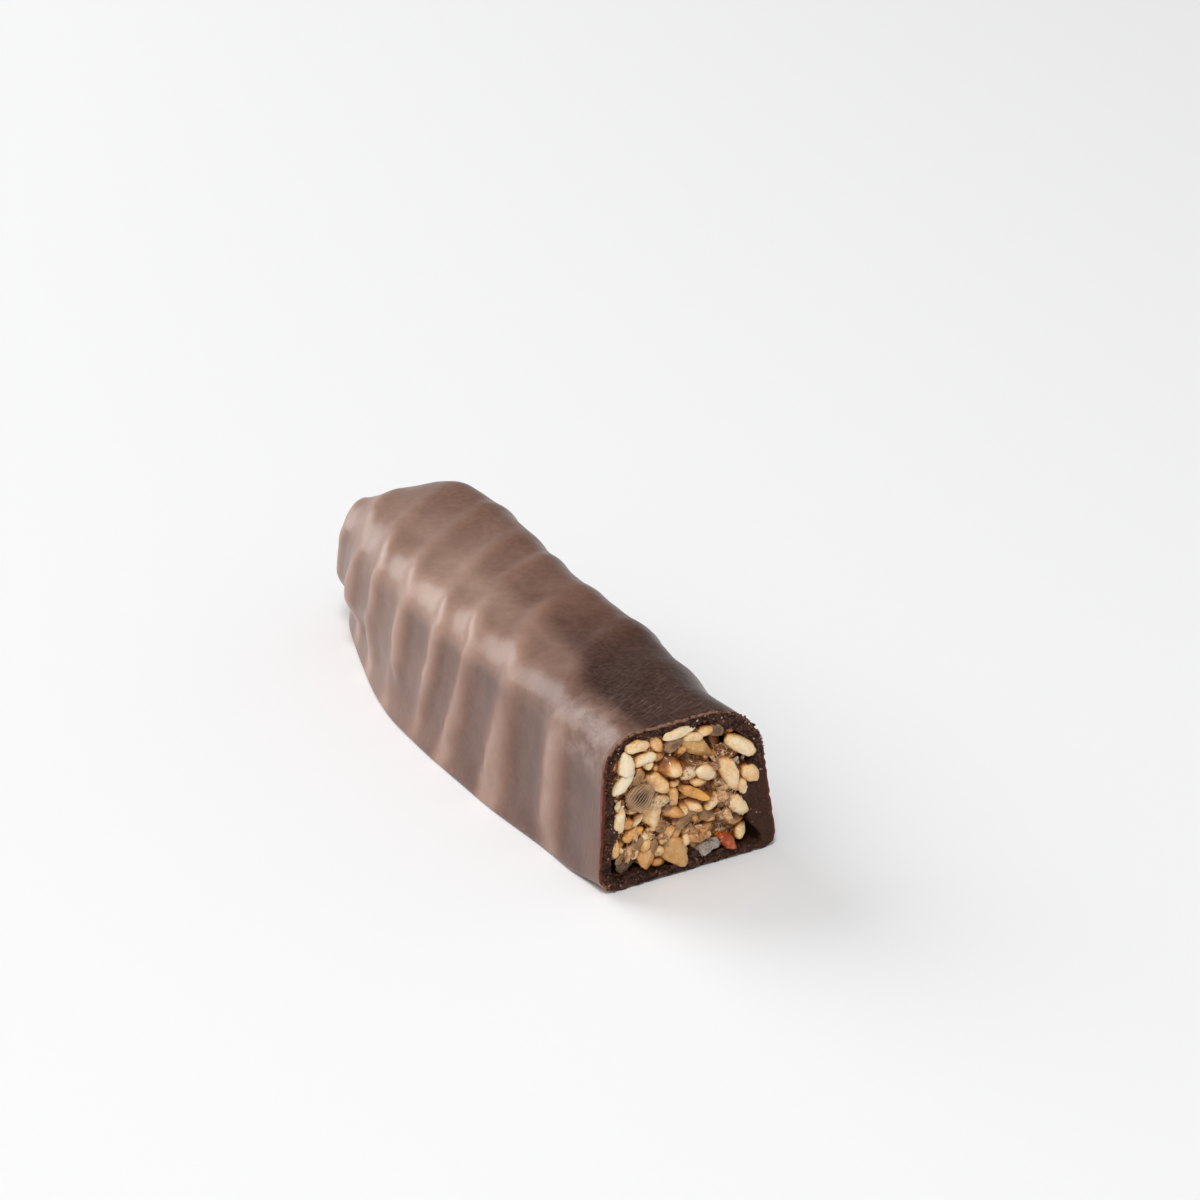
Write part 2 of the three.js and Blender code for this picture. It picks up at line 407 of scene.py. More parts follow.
ridgeAt = [-24, -13, 0, 7.8, 17, 24, 29.5, 36.3, 43, 49, 54.5, 60, 66]    # mm behind the cut


def ease(start, end, value):
    share = np.clip((value - start) / (end - start), 0, 1)
    return share * share * (3 - 2 * share)


def mix(first, second, share):
    return first + (second - first) * share


def roundedOutline(corners, arcSteps=24, edgeSteps=40):    # corners as (x, z, radius), counter-clockwise
    points = []
    count = len(corners)
    for i, (x, z, radius) in enumerate(corners):
        at = np.array((x, z))
        back = np.array(corners[i - 1][:2]) - at
        on = np.array(corners[(i + 1) % count][:2]) - at
        back, on = back / np.linalg.norm(back), on / np.linalg.norm(on)
        half = math.acos(np.clip(back @ on, -1, 1)) / 2
        middle = at + (back + on) / np.linalg.norm(back + on) * radius / math.sin(half)
        first = at + back * radius / math.tan(half) - middle
        turn = math.pi - 2 * half
        for angle in np.linspace(0, turn, arcSteps):
            cos, sin = math.cos(angle), math.sin(angle)
            points.append(middle + (first[0] * cos - first[1] * sin, first[0] * sin + first[1] * cos))
    whole = []
    for i, point in enumerate(points):
        step = points[(i + 1) % len(points)] - point
        pieces = edgeSteps if np.linalg.norm(step) > 1 else 1
        whole += [point + step * k / pieces for k in range(pieces)]
    return np.array(whole)


def reachOf(outline, angles):      # how far the outline is from the section's middle, at each angle
    arms = outline - (0, section["belly"])
    turns = np.arctan2(arms[:, 1], arms[:, 0])
    return np.interp(angles, np.sort(turns), np.hypot(*arms.T)[np.argsort(turns)], period=2 * math.pi)


def coatingOutline(y):
    s = section
    settle = ease(5, 20, y)
    squared = ease(0, 6, y)
    return roundedOutline([
        (mix(s["cutBase"], s["halfBase"], ease(0, 8, y)), 0, mix(s["wornRound"], s["baseRound"], squared)),
        (mix(s["cutShoulder"], s["rightShoulder"], settle), s["height"],
         mix(s["cutRound"], s["rightRound"], settle)),
        (-s["leftShoulder"], s["height"], s["leftRound"] + s["endLeftRound"] * ease(38, 54, y)),
        (-s["halfBase"], 0, mix(s["chippedRound"], s["baseRound"], squared)),
    ])


def fillingOutline(gap=0.0):
    s = section
    top = s["height"] - s["wallTop"] - gap
    return roundedOutline([
        (s["fillRight"] - gap, s["floor"], 0.9),
        (s["fillRight"] - 0.9 - gap, top, 4.8),
        (-s["fillLeft"] + 0.2 + gap, top, 2.3),
        (-s["fillLeft"] + gap, s["floor"], 1.3),
    ])


def evenAngles(count):             # angles that space the points of the outline evenly
    outline = coatingOutline(25.0)
    arms = outline - (0, section["belly"])
    turns = np.unwrap(np.arctan2(arms[:, 1], arms[:, 0]))
    walked = np.concatenate([[0], np.cumsum(np.hypot(*np.diff(outline, axis=0).T))])
    angles = np.interp(np.linspace(0, walked[-1], count, endpoint=False), walked, turns)
    return (angles + math.pi) % (2 * math.pi) - math.pi


openingShape = dict(
    seed=5,
    wobble=0.3,                    # mm, the hollow's edge at the cut isn't smooth
    thickerBy=0.75,                # mm, the right wall below its middle
    thickerAt=-0.3,                # radians from the middle's height
    thickerHalf=0.42,
    pocket=1.3,                    # mm, the hollow's dark pocket at its lower right
    pocketAt=-0.668,
    pocketHalf=0.085,
)


def openingChange(angles):         # how the hollow's edge at the cut differs from the plain outline
    spec = openingShape
    draw = random.Random(spec["seed"])
    waves = [(k, draw.uniform(0.3, 1) * spec["wobble"] / math.sqrt(k - 3), draw.uniform(0, 6.3))
             for k in range(4, 24)]
    wobble = sum(depth * np.sin(k * angles + turn) for k, depth, turn in waves)
    thicker = spec["thickerBy"] * np.exp(-((angles - spec["thickerAt"]) / spec["thickerHalf"]) ** 2)
    return wobble - thicker + spec["pocket"] * np.exp(-((angles - spec["pocketAt"]) / spec["pocketHalf"]) ** 4)


def raysAt(angles):
    return np.stack([np.cos(angles), np.sin(angles)], 1)


def coatingBlank(spec):            # the bar before it gets its ridges, its round end and its bend
    sides, lip, rim = spec["sides"], spec["lipRound"], spec["rimRound"]
    angles = evenAngles(sides)
    hollow = reachOf(fillingOutline(), angles)
    wobble = openingChange(angles)
    opening = hollow + wobble
    draw = random.Random(spec["chipSeed"])
    chips = sum(draw.uniform(0.3, 1) * np.sin(k * angles + draw.uniform(0, 6.3)) for k in range(23, 71)) / 7
    chips = spec["chipDepth"] * np.clip(chips, -1, 0.3)    # the outer edge of the cut isn't smooth either
    outer = reachOf(coatingOutline(0.0), angles) + chips
    end = barLength - section["endWall"]
    quarter = np.linspace(0, math.pi / 2, 4)

    rings = []                     # each as radius at each angle, y, and weights of skin, face and hollow
    for share in np.linspace(1, 0, spec["hollowRings"], endpoint=False)[1:]:
        y = lip + (end - lip) * share ** 2.4
        rings.append((hollow + wobble * (1 - ease(0.6, 4.5, y)), y, (0, 0, 1)))
    for angle in quarter:
        rings.append((opening + lip * (1 - math.cos(angle)), lip * (1 - math.sin(angle)), (0, 1, 0)))
    for share in np.linspace(0, 1, spec["faceRings"], endpoint=False)[1:]:
        rings.append((mix(opening + lip, outer - rim, share), 0, (0.28 * ease(0.92, 1, share), 1, 0)))
    for angle in quarter:
        rings.append((outer - rim * (1 - math.sin(angle)), rim * (1 - math.cos(angle)), (0.5, 0.5, 0)))
    turns = np.linspace(0, math.pi / 2, spec["endStations"], endpoint=False)[1:]
    for y in (*np.linspace(rim, spec["nearCut"], spec["cutStations"])[1:],
              *np.linspace(spec["nearCut"], spec["roundFrom"], spec["straightStations"])[1:],
              *(spec["roundFrom"] + (barLength - spec["roundFrom"]) * np.sin(turns))):
        rings.append((reachOf(coatingOutline(y), angles) + chips * (1 - ease(rim, 0.5, y)), y, (1, 0, 0)))

    radii, stations, weights = (np.array(part) for part in zip(*rings))
    flat = raysAt(angles) * radii[:, :, None] + (0, section["belly"])
    along = np.roll(flat, -1, 1) - np.roll(flat, 1, 1)
    facings = along[:, :, ::-1] * (1, -1) / np.linalg.norm(along, axis=2)[:, :, None]
    places = np.insert(flat.reshape(-1, 2), 1, np.repeat(stations, sides), axis=1)
    poles = [(0, end, section["belly"]), (0, barLength, section["belly"])]
    weights = np.concatenate([np.repeat(weights, sides, axis=0), [(0, 0, 1), (1, 0, 0)]])
    return meshObject(
        "coatingBlank", np.concatenate([places, poles]) * mm,
        ringFaces(len(rings), sides, 0, len(places), len(places) + 1), {
            "facing": np.concatenate([np.insert(facings.reshape(-1, 2), 1, 0, axis=1), np.zeros((2, 3))]),
            "skin": weights[:, 0], "cutFace": weights[:, 1], "hollow": weights[:, 2]})


def ridgePhase(at):                # a float curve that reaches a whole number at each ridge
    low, high = ridgeAt[0], ridgeAt[-1]
    steps = len(ridgeAt) - 1
    made = addNode(at.tree, "ShaderNodeFloatCurve", {"Value": (at / mm - low) / (high - low)})
    curve = made.mapping.curves[0]
    while len(curve.points) < len(ridgeAt):
        curve.points.new(0.5, 0.5)
    for count, (point, place) in enumerate(zip(curve.points, ridgeAt)):
        point.location = ((place - low) / (high - low), count / steps)
        point.handle_type = "VECTOR"
    made.mapping.update()
    return Field(at.tree, made.outputs["Value"]) * steps


endShape = dict(                   # how the far end closes, mm behind the cut
    planFrom=36,                   # from here it narrows
    planPower=3,
    topFrom=51,                    # from here the top comes down
    topPower=2.2,
    underFrom=53,                  # from here the underside comes up
    underPower=5,
    tuck=0.21,                     # the base draws in by this share
    swell=0.05,                    # the bar widens by this share before it closes
    bendFrom=28,
    bendTo=58,
)


def coatingTree():
    tree, entry = geometryTree("coatingRidges", {
        **coatingRule, "Skin Finish": "Material", "Cut Finish": "Material"})
    place = take(tree, "GeometryNodeInputPosition")
    x, y, z = place.xyz()
    skin, face, hollow = (attributeField(tree, name) for name in ("skin", "cutFace", "hollow"))

    # where on a ridge this point lies
    across = ((x + 8 * mm) / (16 * mm)).bounded()
    overTop = entry["Ridge Sweep"] * (1 - (1 - across) ** 1.7)
    atLeft = 1 - x.above(0)
    lean = 2 - atLeft + atLeft * y.ease(10 * mm, 30 * mm) * 2.5
    downWall = ((13 * mm - z) / (11 * mm)).reckon("MAXIMUM", 0)
    wander = (noiseField(tree, 6, place) - 0.5) * entry["Ridge Wander"] * y.ease(3 * mm, 12 * mm)
    phase = ridgePhase(y - overTop - lean * downWall * mm + wander)
    crest = ((phase * (2 * math.pi)).reckon("COSINE") * 0.5 + 0.5) ** entry["Ridge Sharpness"]

    # how high it stands
    onTop = z.ease(12 * mm, 15 * mm) * x.ease(6 * mm, 2 * mm)
    nearCut = 0.25 + 0.75 * y.ease(1 * mm, 7 * mm) * (1 - onTop * y.ease(17 * mm, 9 * mm))
    fade = 0.12 + 0.88 * y.rounded(endShape["planFrom"] * mm, barLength * mm, endShape["planPower"])
    calm = (0.3 + 0.5 * across) * z.ease(9 * mm, 14.5 * mm)
    uneven = (2.4 * noiseField(tree, 8, place) - 0.3) * (1 - calm)
    ridge = entry["Ridge Depth"] * (crest * uneven - entry["Trough Level"]) * nearCut * fade
    ridge = ridge * z.ease(0.6 * mm, 4 * mm)
    lumps = (noiseField(tree, 3.2, place, 3.0) - 0.5) * entry["Lump Height"] * y.ease(0.5 * mm, 4 * mm)
    shoulder = x.ease(-5 * mm, -7 * mm) * z.ease(11 * mm, 13 * mm) * y.ease(3 * mm, 5 * mm)
    pits = take(tree, "ShaderNodeTexVoronoi", {"Vector": place, "Scale": 1 / (0.9 * mm)}, feature="SMOOTH_F1")
    dimples = entry["Dimple Depth"] * shoulder * y.ease(13 * mm, 9 * mm) * pits
    rise = (ridge + dimples + lumps * z.ease(0.2 * mm, 2 * mm)) * skin.above(0.9)

    # the foot that runs out along the base
    low = (1 - z / entry["Foot Height"]).bounded()
    footFrom = (section["halfBase"] - 2) * mm
    atSide = x.above(footFrom) - (x * -1).above(footFrom)
    foot = entry["Foot Reach"] * low * low * y.ease(8 * mm, 20 * mm) * atSide * skin

    # the knife lifted the base's edge a little at the cut
    lifted = entry["Front Lift"] * (1 - y / (0.9 * mm)).bounded() ** 2 * (1 - z / (0.7 * mm)).bounded() ** 2
    lifted = lifted * noiseField(tree, 1.2, place).ease(0.3, 0.6)

    towardsX, _, towardsZ = attributeField(tree, "facing", "FLOAT_VECTOR").xyz()
    x = x + towardsX * rise + foot
    z = z + towardsZ * rise + lifted * (1 - hollow)

    # the broken grain of the cut
    cracks = noiseField(tree, 0.9, place, 5.0, 0.62) - 0.5
    broken = cracks * entry["Break Depth"] * face

    # the round end and the bend, as closeEnd has them
    form = {name: value * mm for name, value in endShape.items()}
    belly = section["belly"] * mm
    endAt = (barLength - hollow * section["endWall"]) * mm
    underAt = form["underFrom"] - hollow * section["endWall"] * mm
    plan = y.rounded(form["planFrom"], endAt, endShape["planPower"])
    tuck = 1 - endShape["tuck"] * z.ease(belly, 3 * mm) * y.ease(36 * mm, 56 * mm)
    wide = 1 + endShape["swell"] * y.ease(30 * mm, 52 * mm)
    upper = z.above(belly)
    side = (upper * y.rounded(form["topFrom"], endAt, endShape["topPower"])
            + (1 - upper) * y.rounded(underAt, endAt, endShape["underPower"]))
    bend = entry["Bend"] * y.ease(form["bendFrom"], form["bendTo"])
    moved = take(tree, "ShaderNodeCombineXYZ", {
        0: x * wide * plan * tuck + bend + faceMiddle * mm,
        1: y + broken + cutPlane * mm,
        2: ((z - belly) * side + belly).reckon("MAXIMUM", 0)})
    kept = storeField(entry["Geometry"], "crest", (crest * uneven * nearCut * fade).bounded())
    coated = dressed(movePoints(kept, Position=moved), entry["Skin Finish"])
    endTree(coated, entry["Cut Finish"], True, Selection=(1 - skin).above(0.3))
    return tree


chocolateTones = dict(
    skin=(0.205, 0.084, 0.049),
    # painted shade, for the troughs between the ridges
    troughShade=(0.098, 0.036, 0.020),
    # painted sheen, for crests, shoulders and the far top
    paleSheen=(0.42, 0.258, 0.195),
    # pale streaks, and a painted highlight on the left shoulder
    bloomAndSheen=(0.42, 0.28, 0.225),
    # painted shadow, for the top near the cut
    topShadow=(0.036, 0.0115, 0.0062),
    speck=(0.42, 0.25, 0.18),
    fleck=(0.34, 0.12, 0.06),
    rim=(0.19, 0.038, 0.019),
    torn=(0.34, 0.175, 0.115),
    chip=(0.50, 0.20, 0.11),
    cut=(0.020, 0.0078, 0.0050),
    cutPale=(0.105, 0.047, 0.031),
    crumb=(0.30, 0.17, 0.12),
)


chippedCorner = (-8.9, 0.3, 0.75)    # the base's left corner, mm: across, behind the cut, up


def cornerChip(place):
    middle = (Vector(chippedCorner) + Vector((0, cutPlane, 0))) * mm
    apart = take(place.tree, "ShaderNodeVectorMath", {0: place, 1: middle}, "Value", operation="DISTANCE")
    return (apart / mm + noiseField(place.tree, 0.45, place, 4.0) * 1.4).ease(1.3, 1.05)


def skinMaterial(tones):
    material, tree, place = newMaterial(
        "chocolateSkin", IOR=1.48, Specular_IOR_Level=0.5, Coat_Roughness=0.32)
    x, y, z = place.xyz(mm)
    behind = y - cutPlane
    crest, = meshFields(tree, "crest")
    blotch = mottled(tree, 5, 0.3)
    fine = mottled(tree, 0.5, 0.5)
    lumps, specks = grained(tree, 0.9, 0.2)
    strokes = stroked(tree, 0.13, 2.6, (0, 0, 63))
    brushed = stroked(tree, 0.22, 5, (82, 0, 0))

    # broad tones, painted light and shade: darker troughs, pale crests and shoulders as painted sheen, a dark top
    # near the cut as painted shadow
    raised = crest.ease(0.0, 0.6)
    raised = mixNumber(x.ease(4, -3), raised * 0.4 + 0.25, raised)    # the right wall is evener
    # painted sheen on the far top and the left shoulder, painted lighter on the left side
    far = behind.ease(16, 46) * (0.3 + z.ease(11, 13.5) * 0.3)
    lit = 0.25 + x.ease(7, -3) * 0.65
    sheen = z.ease(11.5, 13.4) * x.ease(0, -3.5) * behind.ease(9, 17) * behind.ease(44, 32)
    pale = (crest.ease(0.34, 1.15) * 0.8 + blotch * 0.2 + far + sheen * 0.5) * (lit + fine * 0.1)
    # painted shadow on the top near the cut
    shaded = z.ease(12.2, 14.4) * (x + behind.ease(8, 18) * -3).ease(-6.6, -4) * behind.ease(26, 12)

    # small marks: a painted highlight on the left shoulder, streaks, specks, flecks by the base and the torn rim
    # a mottled painted highlight on the left shoulder near the cut
    shoulder = x.ease(-4.2, -7) * z.ease(9.5, 12.5) * behind.ease(13, 6)
    patchy = noiseField(tree, 1.6, place, 4.0, 0.65).ease(0.36, 0.66)
    streaks = strokes.ease(0.56, 0.7) * z.ease(13, 14.3) * behind.ease(13, 5)
    onCrest = 0.15 + crest.ease(0.4, 0.9) * 0.85
    flecks = noiseField(tree, 0.8, place, 4.0).ease(0.6, 0.68) * z.ease(1.6, 0.2) * behind.ease(1, 6)
    rim = behind.ease(0.27, 0.15) * noiseField(tree, 0.35, place, 3.0).ease(0.3, 0.5) * z.ease(0.4, 1.2)
    torn = mixColour(z.ease(12, 13.4) * x.ease(1, -2), tones["rim"], tones["torn"])
    base = paint(
        mixColour(raised, tones["troughShade"], tones["skin"]),
        (pale, tones["paleSheen"]),
        (shaded * 0.9, tones["topShadow"]),
        (shoulder * (0.12 + patchy * 0.4), tones["bloomAndSheen"]),
        (fine * 0.07, tones["paleSheen"]),
        (streaks * 0.2, tones["bloomAndSheen"]),
        (specks * onCrest * 0.8, tones["speck"]),
        (flecks * 0.75, tones["fleck"]),
        (rim * 0.9, torn),
        (cornerChip(place), tones["chip"]),
    )

    edge = x.ease(3.5, 5.5) * z.ease(11, 13) * behind.ease(9, 3)
    onTop = z.ease(12.5, 14.2) * behind.ease(17, 9)
    onWall = z.ease(12.5, 10) * behind.ease(14, 8)
    height = lumps * 0.3 + fine * 0.2 + strokes * onTop * 1.5 + brushed * onWall * 1.2
    return linkShader(
        material, (height, 0.03, 0.8), Base_Color=base, Coat_Weight=0.32 - shaded * 0.26,
        Roughness=0.38 + fine * 0.05 + blotch * 0.1 + rim * 0.2 - edge * 0.2)


def cutMaterial(tones):
    material, tree, place = newMaterial("chocolateCut", IOR=1.46, Specular_IOR_Level=0.1)
    height, specks = grained(tree, 0.5, 0.14)
    blotch = mottled(tree, 0.7, 0.6)
    x, _, z = place.xyz(mm)
    even = x.ease(4.5, 6.5) * z.ease(9, 7)    # the wall on the right broke clean
    skin, = meshFields(tree, "skin")
    rim = skin.ease(0.02, 0.26) * noiseField(tree, 0.4, place, 3.0).ease(0.3, 0.5)
    base = paint(
        mixColour(mixNumber(even, blotch * 0.75, 0.55), tones["cut"], tones["cutPale"]),
        (specks * (0.6 - even * 0.5), tones["crumb"]),
        (rim * z.ease(0.4, 1.2) * 0.9, mixColour(z.ease(12.6, 13.8), tones["rim"], tones["torn"])),
        (cornerChip(place), tones["chip"]),
    )
    return linkShader(material, (height + blotch * 0.6, 0.24, 1.0), Base_Color=base, Roughness=0.42 + blotch * 0.2)


coating = makeByTree("chocolateCoating", coatingBlank(coatingMesh), coatingTree(), {
    **coatingRule, "Skin Finish": skinMaterial(chocolateTones), "Cut Finish": cutMaterial(chocolateTones)})
finishPiece(coating, "chocolate_coating")


# Crumbs that the knife left on the cut chocolate

crumbRule = {                      # the tree's inputs: a crumb is this much of a chip's size, metres
    "Least Size": 0.05 * mm,
    "Most Size": 0.28 * mm,
    "Density": 18 / mm ** 2,
    "Seed": 4,
}


def chipForm(name, sides, rings, ragged, smooth=False):    # an uneven little lump, one unit across
    draw = random.Random(name)
    places = [Vector((0, 0, -0.5))]
    for ring in range(1, rings):
        angle = math.pi * ring / rings
        for side in range(sides):
            turn = 2 * math.pi * (side + 0.5 * (ring % 2)) / sides
            arm = 0.5 * (1 + draw.uniform(-ragged, ragged))
            places.append(Vector((math.sin(angle) * math.cos(turn), math.sin(angle) * math.sin(turn),
                                  -math.cos(angle))) * arm)
    places.append(Vector((0, 0, 0.5)))
    return meshObject(name, places, ringFaces(rings - 1, sides, 1, 0, len(places) - 1, True), smooth=smooth)


def crumbTree():
    tree, entry = geometryTree("scatterCrumbs", {
        **crumbRule, "Seed": "Int", "Crumb Form": "Object", "Finish": "Material"})
    spread = take(tree, "GeometryNodeDistributePointsOnFaces", {
        "Mesh": entry["Geometry"], "Seed": entry["Seed"],
        "Density": entry["Density"] * attributeField(tree, "share")})
    form = take(tree, "GeometryNodeObjectInfo", {"Object": entry["Crumb Form"], "As Instance": True}, "Geometry")
    share = take(tree, "FunctionNodeRandomValue", {"Seed": entry["Seed"]}, 1, data_type="FLOAT") ** 2.2
    turn = take(tree, "FunctionNodeRandomValue", {"Seed": entry["Seed"], "Max": (6.3, 6.3, 6.3)},
                data_type="FLOAT_VECTOR")
    laid = take(tree, "GeometryNodeInstanceOnPoints", {
        "Points": spread, "Instance": form, "Rotation": turn,
        "Scale": entry["Least Size"] + (entry["Most Size"] - entry["Least Size"]) * share})
    tint = take(tree, "FunctionNodeRandomValue", {"Seed": 9}, 1, data_type="FLOAT")
    endTree(storeField(laid, "tint", tint, "INSTANCE"), entry["Finish"])
    return tree


def crumbBed(rings=4, sides=160):  # the cut chocolate's ring, as a bed for the crumbs
    angles = np.linspace(-math.pi, math.pi, sides, endpoint=False)
    inner = reachOf(fillingOutline(), angles) + openingChange(angles) + 0.05
    atShoulder = np.exp(-((angles - 0.72) / 0.42) ** 4)    # the knife broke the right shoulder's edge
    outer = reachOf(coatingOutline(0.0), angles) - 0.08 + atShoulder * 0.13
    shares = np.linspace(0, 1, rings)
    flat = raysAt(angles) * mix(inner, outer, shares[:, None])[:, :, None] + (faceMiddle, section["belly"])
    places = np.insert(flat.reshape(-1, 2), 1, cutPlane + 0.02, axis=1)
    places[:, 2] = np.maximum(places[:, 2], crumbRule["Most Size"] / mm)
    even = ease(4.5, 6.5, places[:, 0]) * ease(9, 7, places[:, 2])
    broken = (atShoulder * shares[:, None] ** 2).ravel()
    return meshObject("crumbBed", places * mm, ringFaces(rings, sides, turned=True), {
        "share": 1 - 0.8 * even + broken * 2.2})


def crumbMaterial(name, stops):
    material, tree, place = newMaterial(name, Roughness=0.5, IOR=1.46, Specular_IOR_Level=0.3)
    tint, = meshFields(tree, "tint")
    return linkShader(material, (grained(tree, 0.2, 0.08)[0], 0.04, 0.7), Base_Color=addRamp(tint, stops))


def scatterCrumbs(name, bed, form, finish, rule):
    made = makeByTree(name, bed, scatterNodes, {**rule, "Crumb Form": form, "Finish": finish})
    bpy.data.objects.remove(form)
    return made


scatterNodes = crumbTree()
crumbTones = [(0.0, chocolateTones["cut"]), (0.5, chocolateTones["cutPale"]), (0.8, (0.12, 0.050, 0.032)),
              (0.93, (0.16, 0.055, 0.032)), (0.96, chocolateTones["crumb"]), (0.99, (0.50, 0.40, 0.35))]
finishPiece(scatterCrumbs("chocolateCrumbs", crumbBed(), chipForm("crumbChip", 6, 4, 0.3),
                          crumbMaterial("chocolateCrumb", crumbTones), crumbRule))


# Packed filling: the core that runs through the bar, behind the seeds that show

coreShape = dict(gap=0.45, front=2.2, rings=40, sides=90, frontRings=14)


def roundAt(value, start, end, power):
    share = np.clip((value - start) / (end - start), 0, 1)
    return (1 - share ** power) ** (1 / power)


def closeEnd(x, y, z, wall):       # the round end and the bend, in mm, that far inside the coating
    form, belly, end = endShape, section["belly"], barLength - wall
    plan = roundAt(y, form["planFrom"], end, form["planPower"])
    tuck = 1 - form["tuck"] * ease(belly, 3, z) * ease(36, 56, y)
    wide = 1 + form["swell"] * ease(30, 52, y)
    under = form["underFrom"] - section["endWall"]
    side = np.where(z > belly, roundAt(y, form["topFrom"], end, form["topPower"]),
                    roundAt(y, under, end, form["underPower"]))
    bend = coatingRule["Bend"] / mm * ease(form["bendFrom"], form["bendTo"], y)
    return np.stack([x * wide * plan * tuck + bend + faceMiddle, y + cutPlane,
                     np.maximum(0, belly + (z - belly) * side)], 1)


def coreBlank(spec):
    sides, front = spec["sides"], spec["front"]
    wall = section["endWall"] + spec["gap"]
    angles = np.linspace(-math.pi, math.pi, sides, endpoint=False)
    reach = reachOf(fillingOutline(spec["gap"]), angles)
    end = barLength - wall
    stations = front + (end - front) * np.sin(np.linspace(0.02, math.pi / 2, spec["rings"])) ** 1.2
    shares = np.append(np.linspace(0.05, 0.97, spec["frontRings"]), np.ones(len(stations) - 1))
    behind = np.append(np.full(spec["frontRings"], front), stations[:-1])
    flat = raysAt(angles) * reach[:, None] * shares[:, None, None] + (0, section["belly"])
    flat = np.append(flat.reshape(-1, 2), [(0, section["belly"])] * 2, axis=0)
    places = closeEnd(flat[:, 0], np.append(np.repeat(behind, sides), (front, end)), flat[:, 1], wall)
    return meshObject("coreBlank", places * mm,
                      ringFaces(len(shares), sides, 0, len(places) - 2, len(places) - 1))


def coreTree():
    tree, entry = geometryTree("coreLumps", {"Lump Size": 1.5 * mm, "Lump Depth": 0.5 * mm, "Finish": "Material"})
    lumps = take(tree, "ShaderNodeTexVoronoi", {
        "Vector": take(tree, "GeometryNodeInputPosition"), "Scale": entry["Lump Size"] ** -1}, feature="SMOOTH_F1")
    offset = scaled(take(tree, "GeometryNodeInputNormal"), lumps * entry["Lump Depth"])
    endTree(movePoints(entry["Geometry"], Offset=offset), entry["Finish"], True)
    return tree


def coreMaterial():
    material, tree, place = newMaterial("packedSyrupShade", Roughness=0.28, Coat_Weight=0.3)
    # the packed syrup core, painted near black as the shade deep between the seeds
    base = mixColour(mottled(tree, 1.2, 0.5), (0.008, 0.0035, 0.002), (0.055, 0.024, 0.010))
    return linkShader(material, (grained(tree, 0.5, 0.2)[0], 0.1, 0.8), Base_Color=base)


core = makeByTree("packedCore", coreBlank(coreShape), coreTree(), {"Finish": coreMaterial()})
finishPiece(core, "sesame_filling")


# Sesame seeds of the cut face

seedShapes = dict(                 # how each kind of seed is formed
    drop=dict(taper=0.2, blunt=2.3, tip=1.9, flat=0.88, facet=0.1, curl=0.04),
    rod=dict(taper=0.1, blunt=2.7, tip=2.3, flat=0.88, facet=0.08, curl=0.06),
    chunk=dict(taper=0.5, blunt=2.6, tip=1.35, flat=0.8, facet=0.3, curl=0.0),
    stub=dict(taper=0.12, blunt=3.0, tip=2.5, flat=0.85, facet=0.4, curl=0.0),
    crescent=dict(taper=0.2, blunt=2.3, tip=1.8, flat=0.9, facet=0.08, curl=0.22),
)

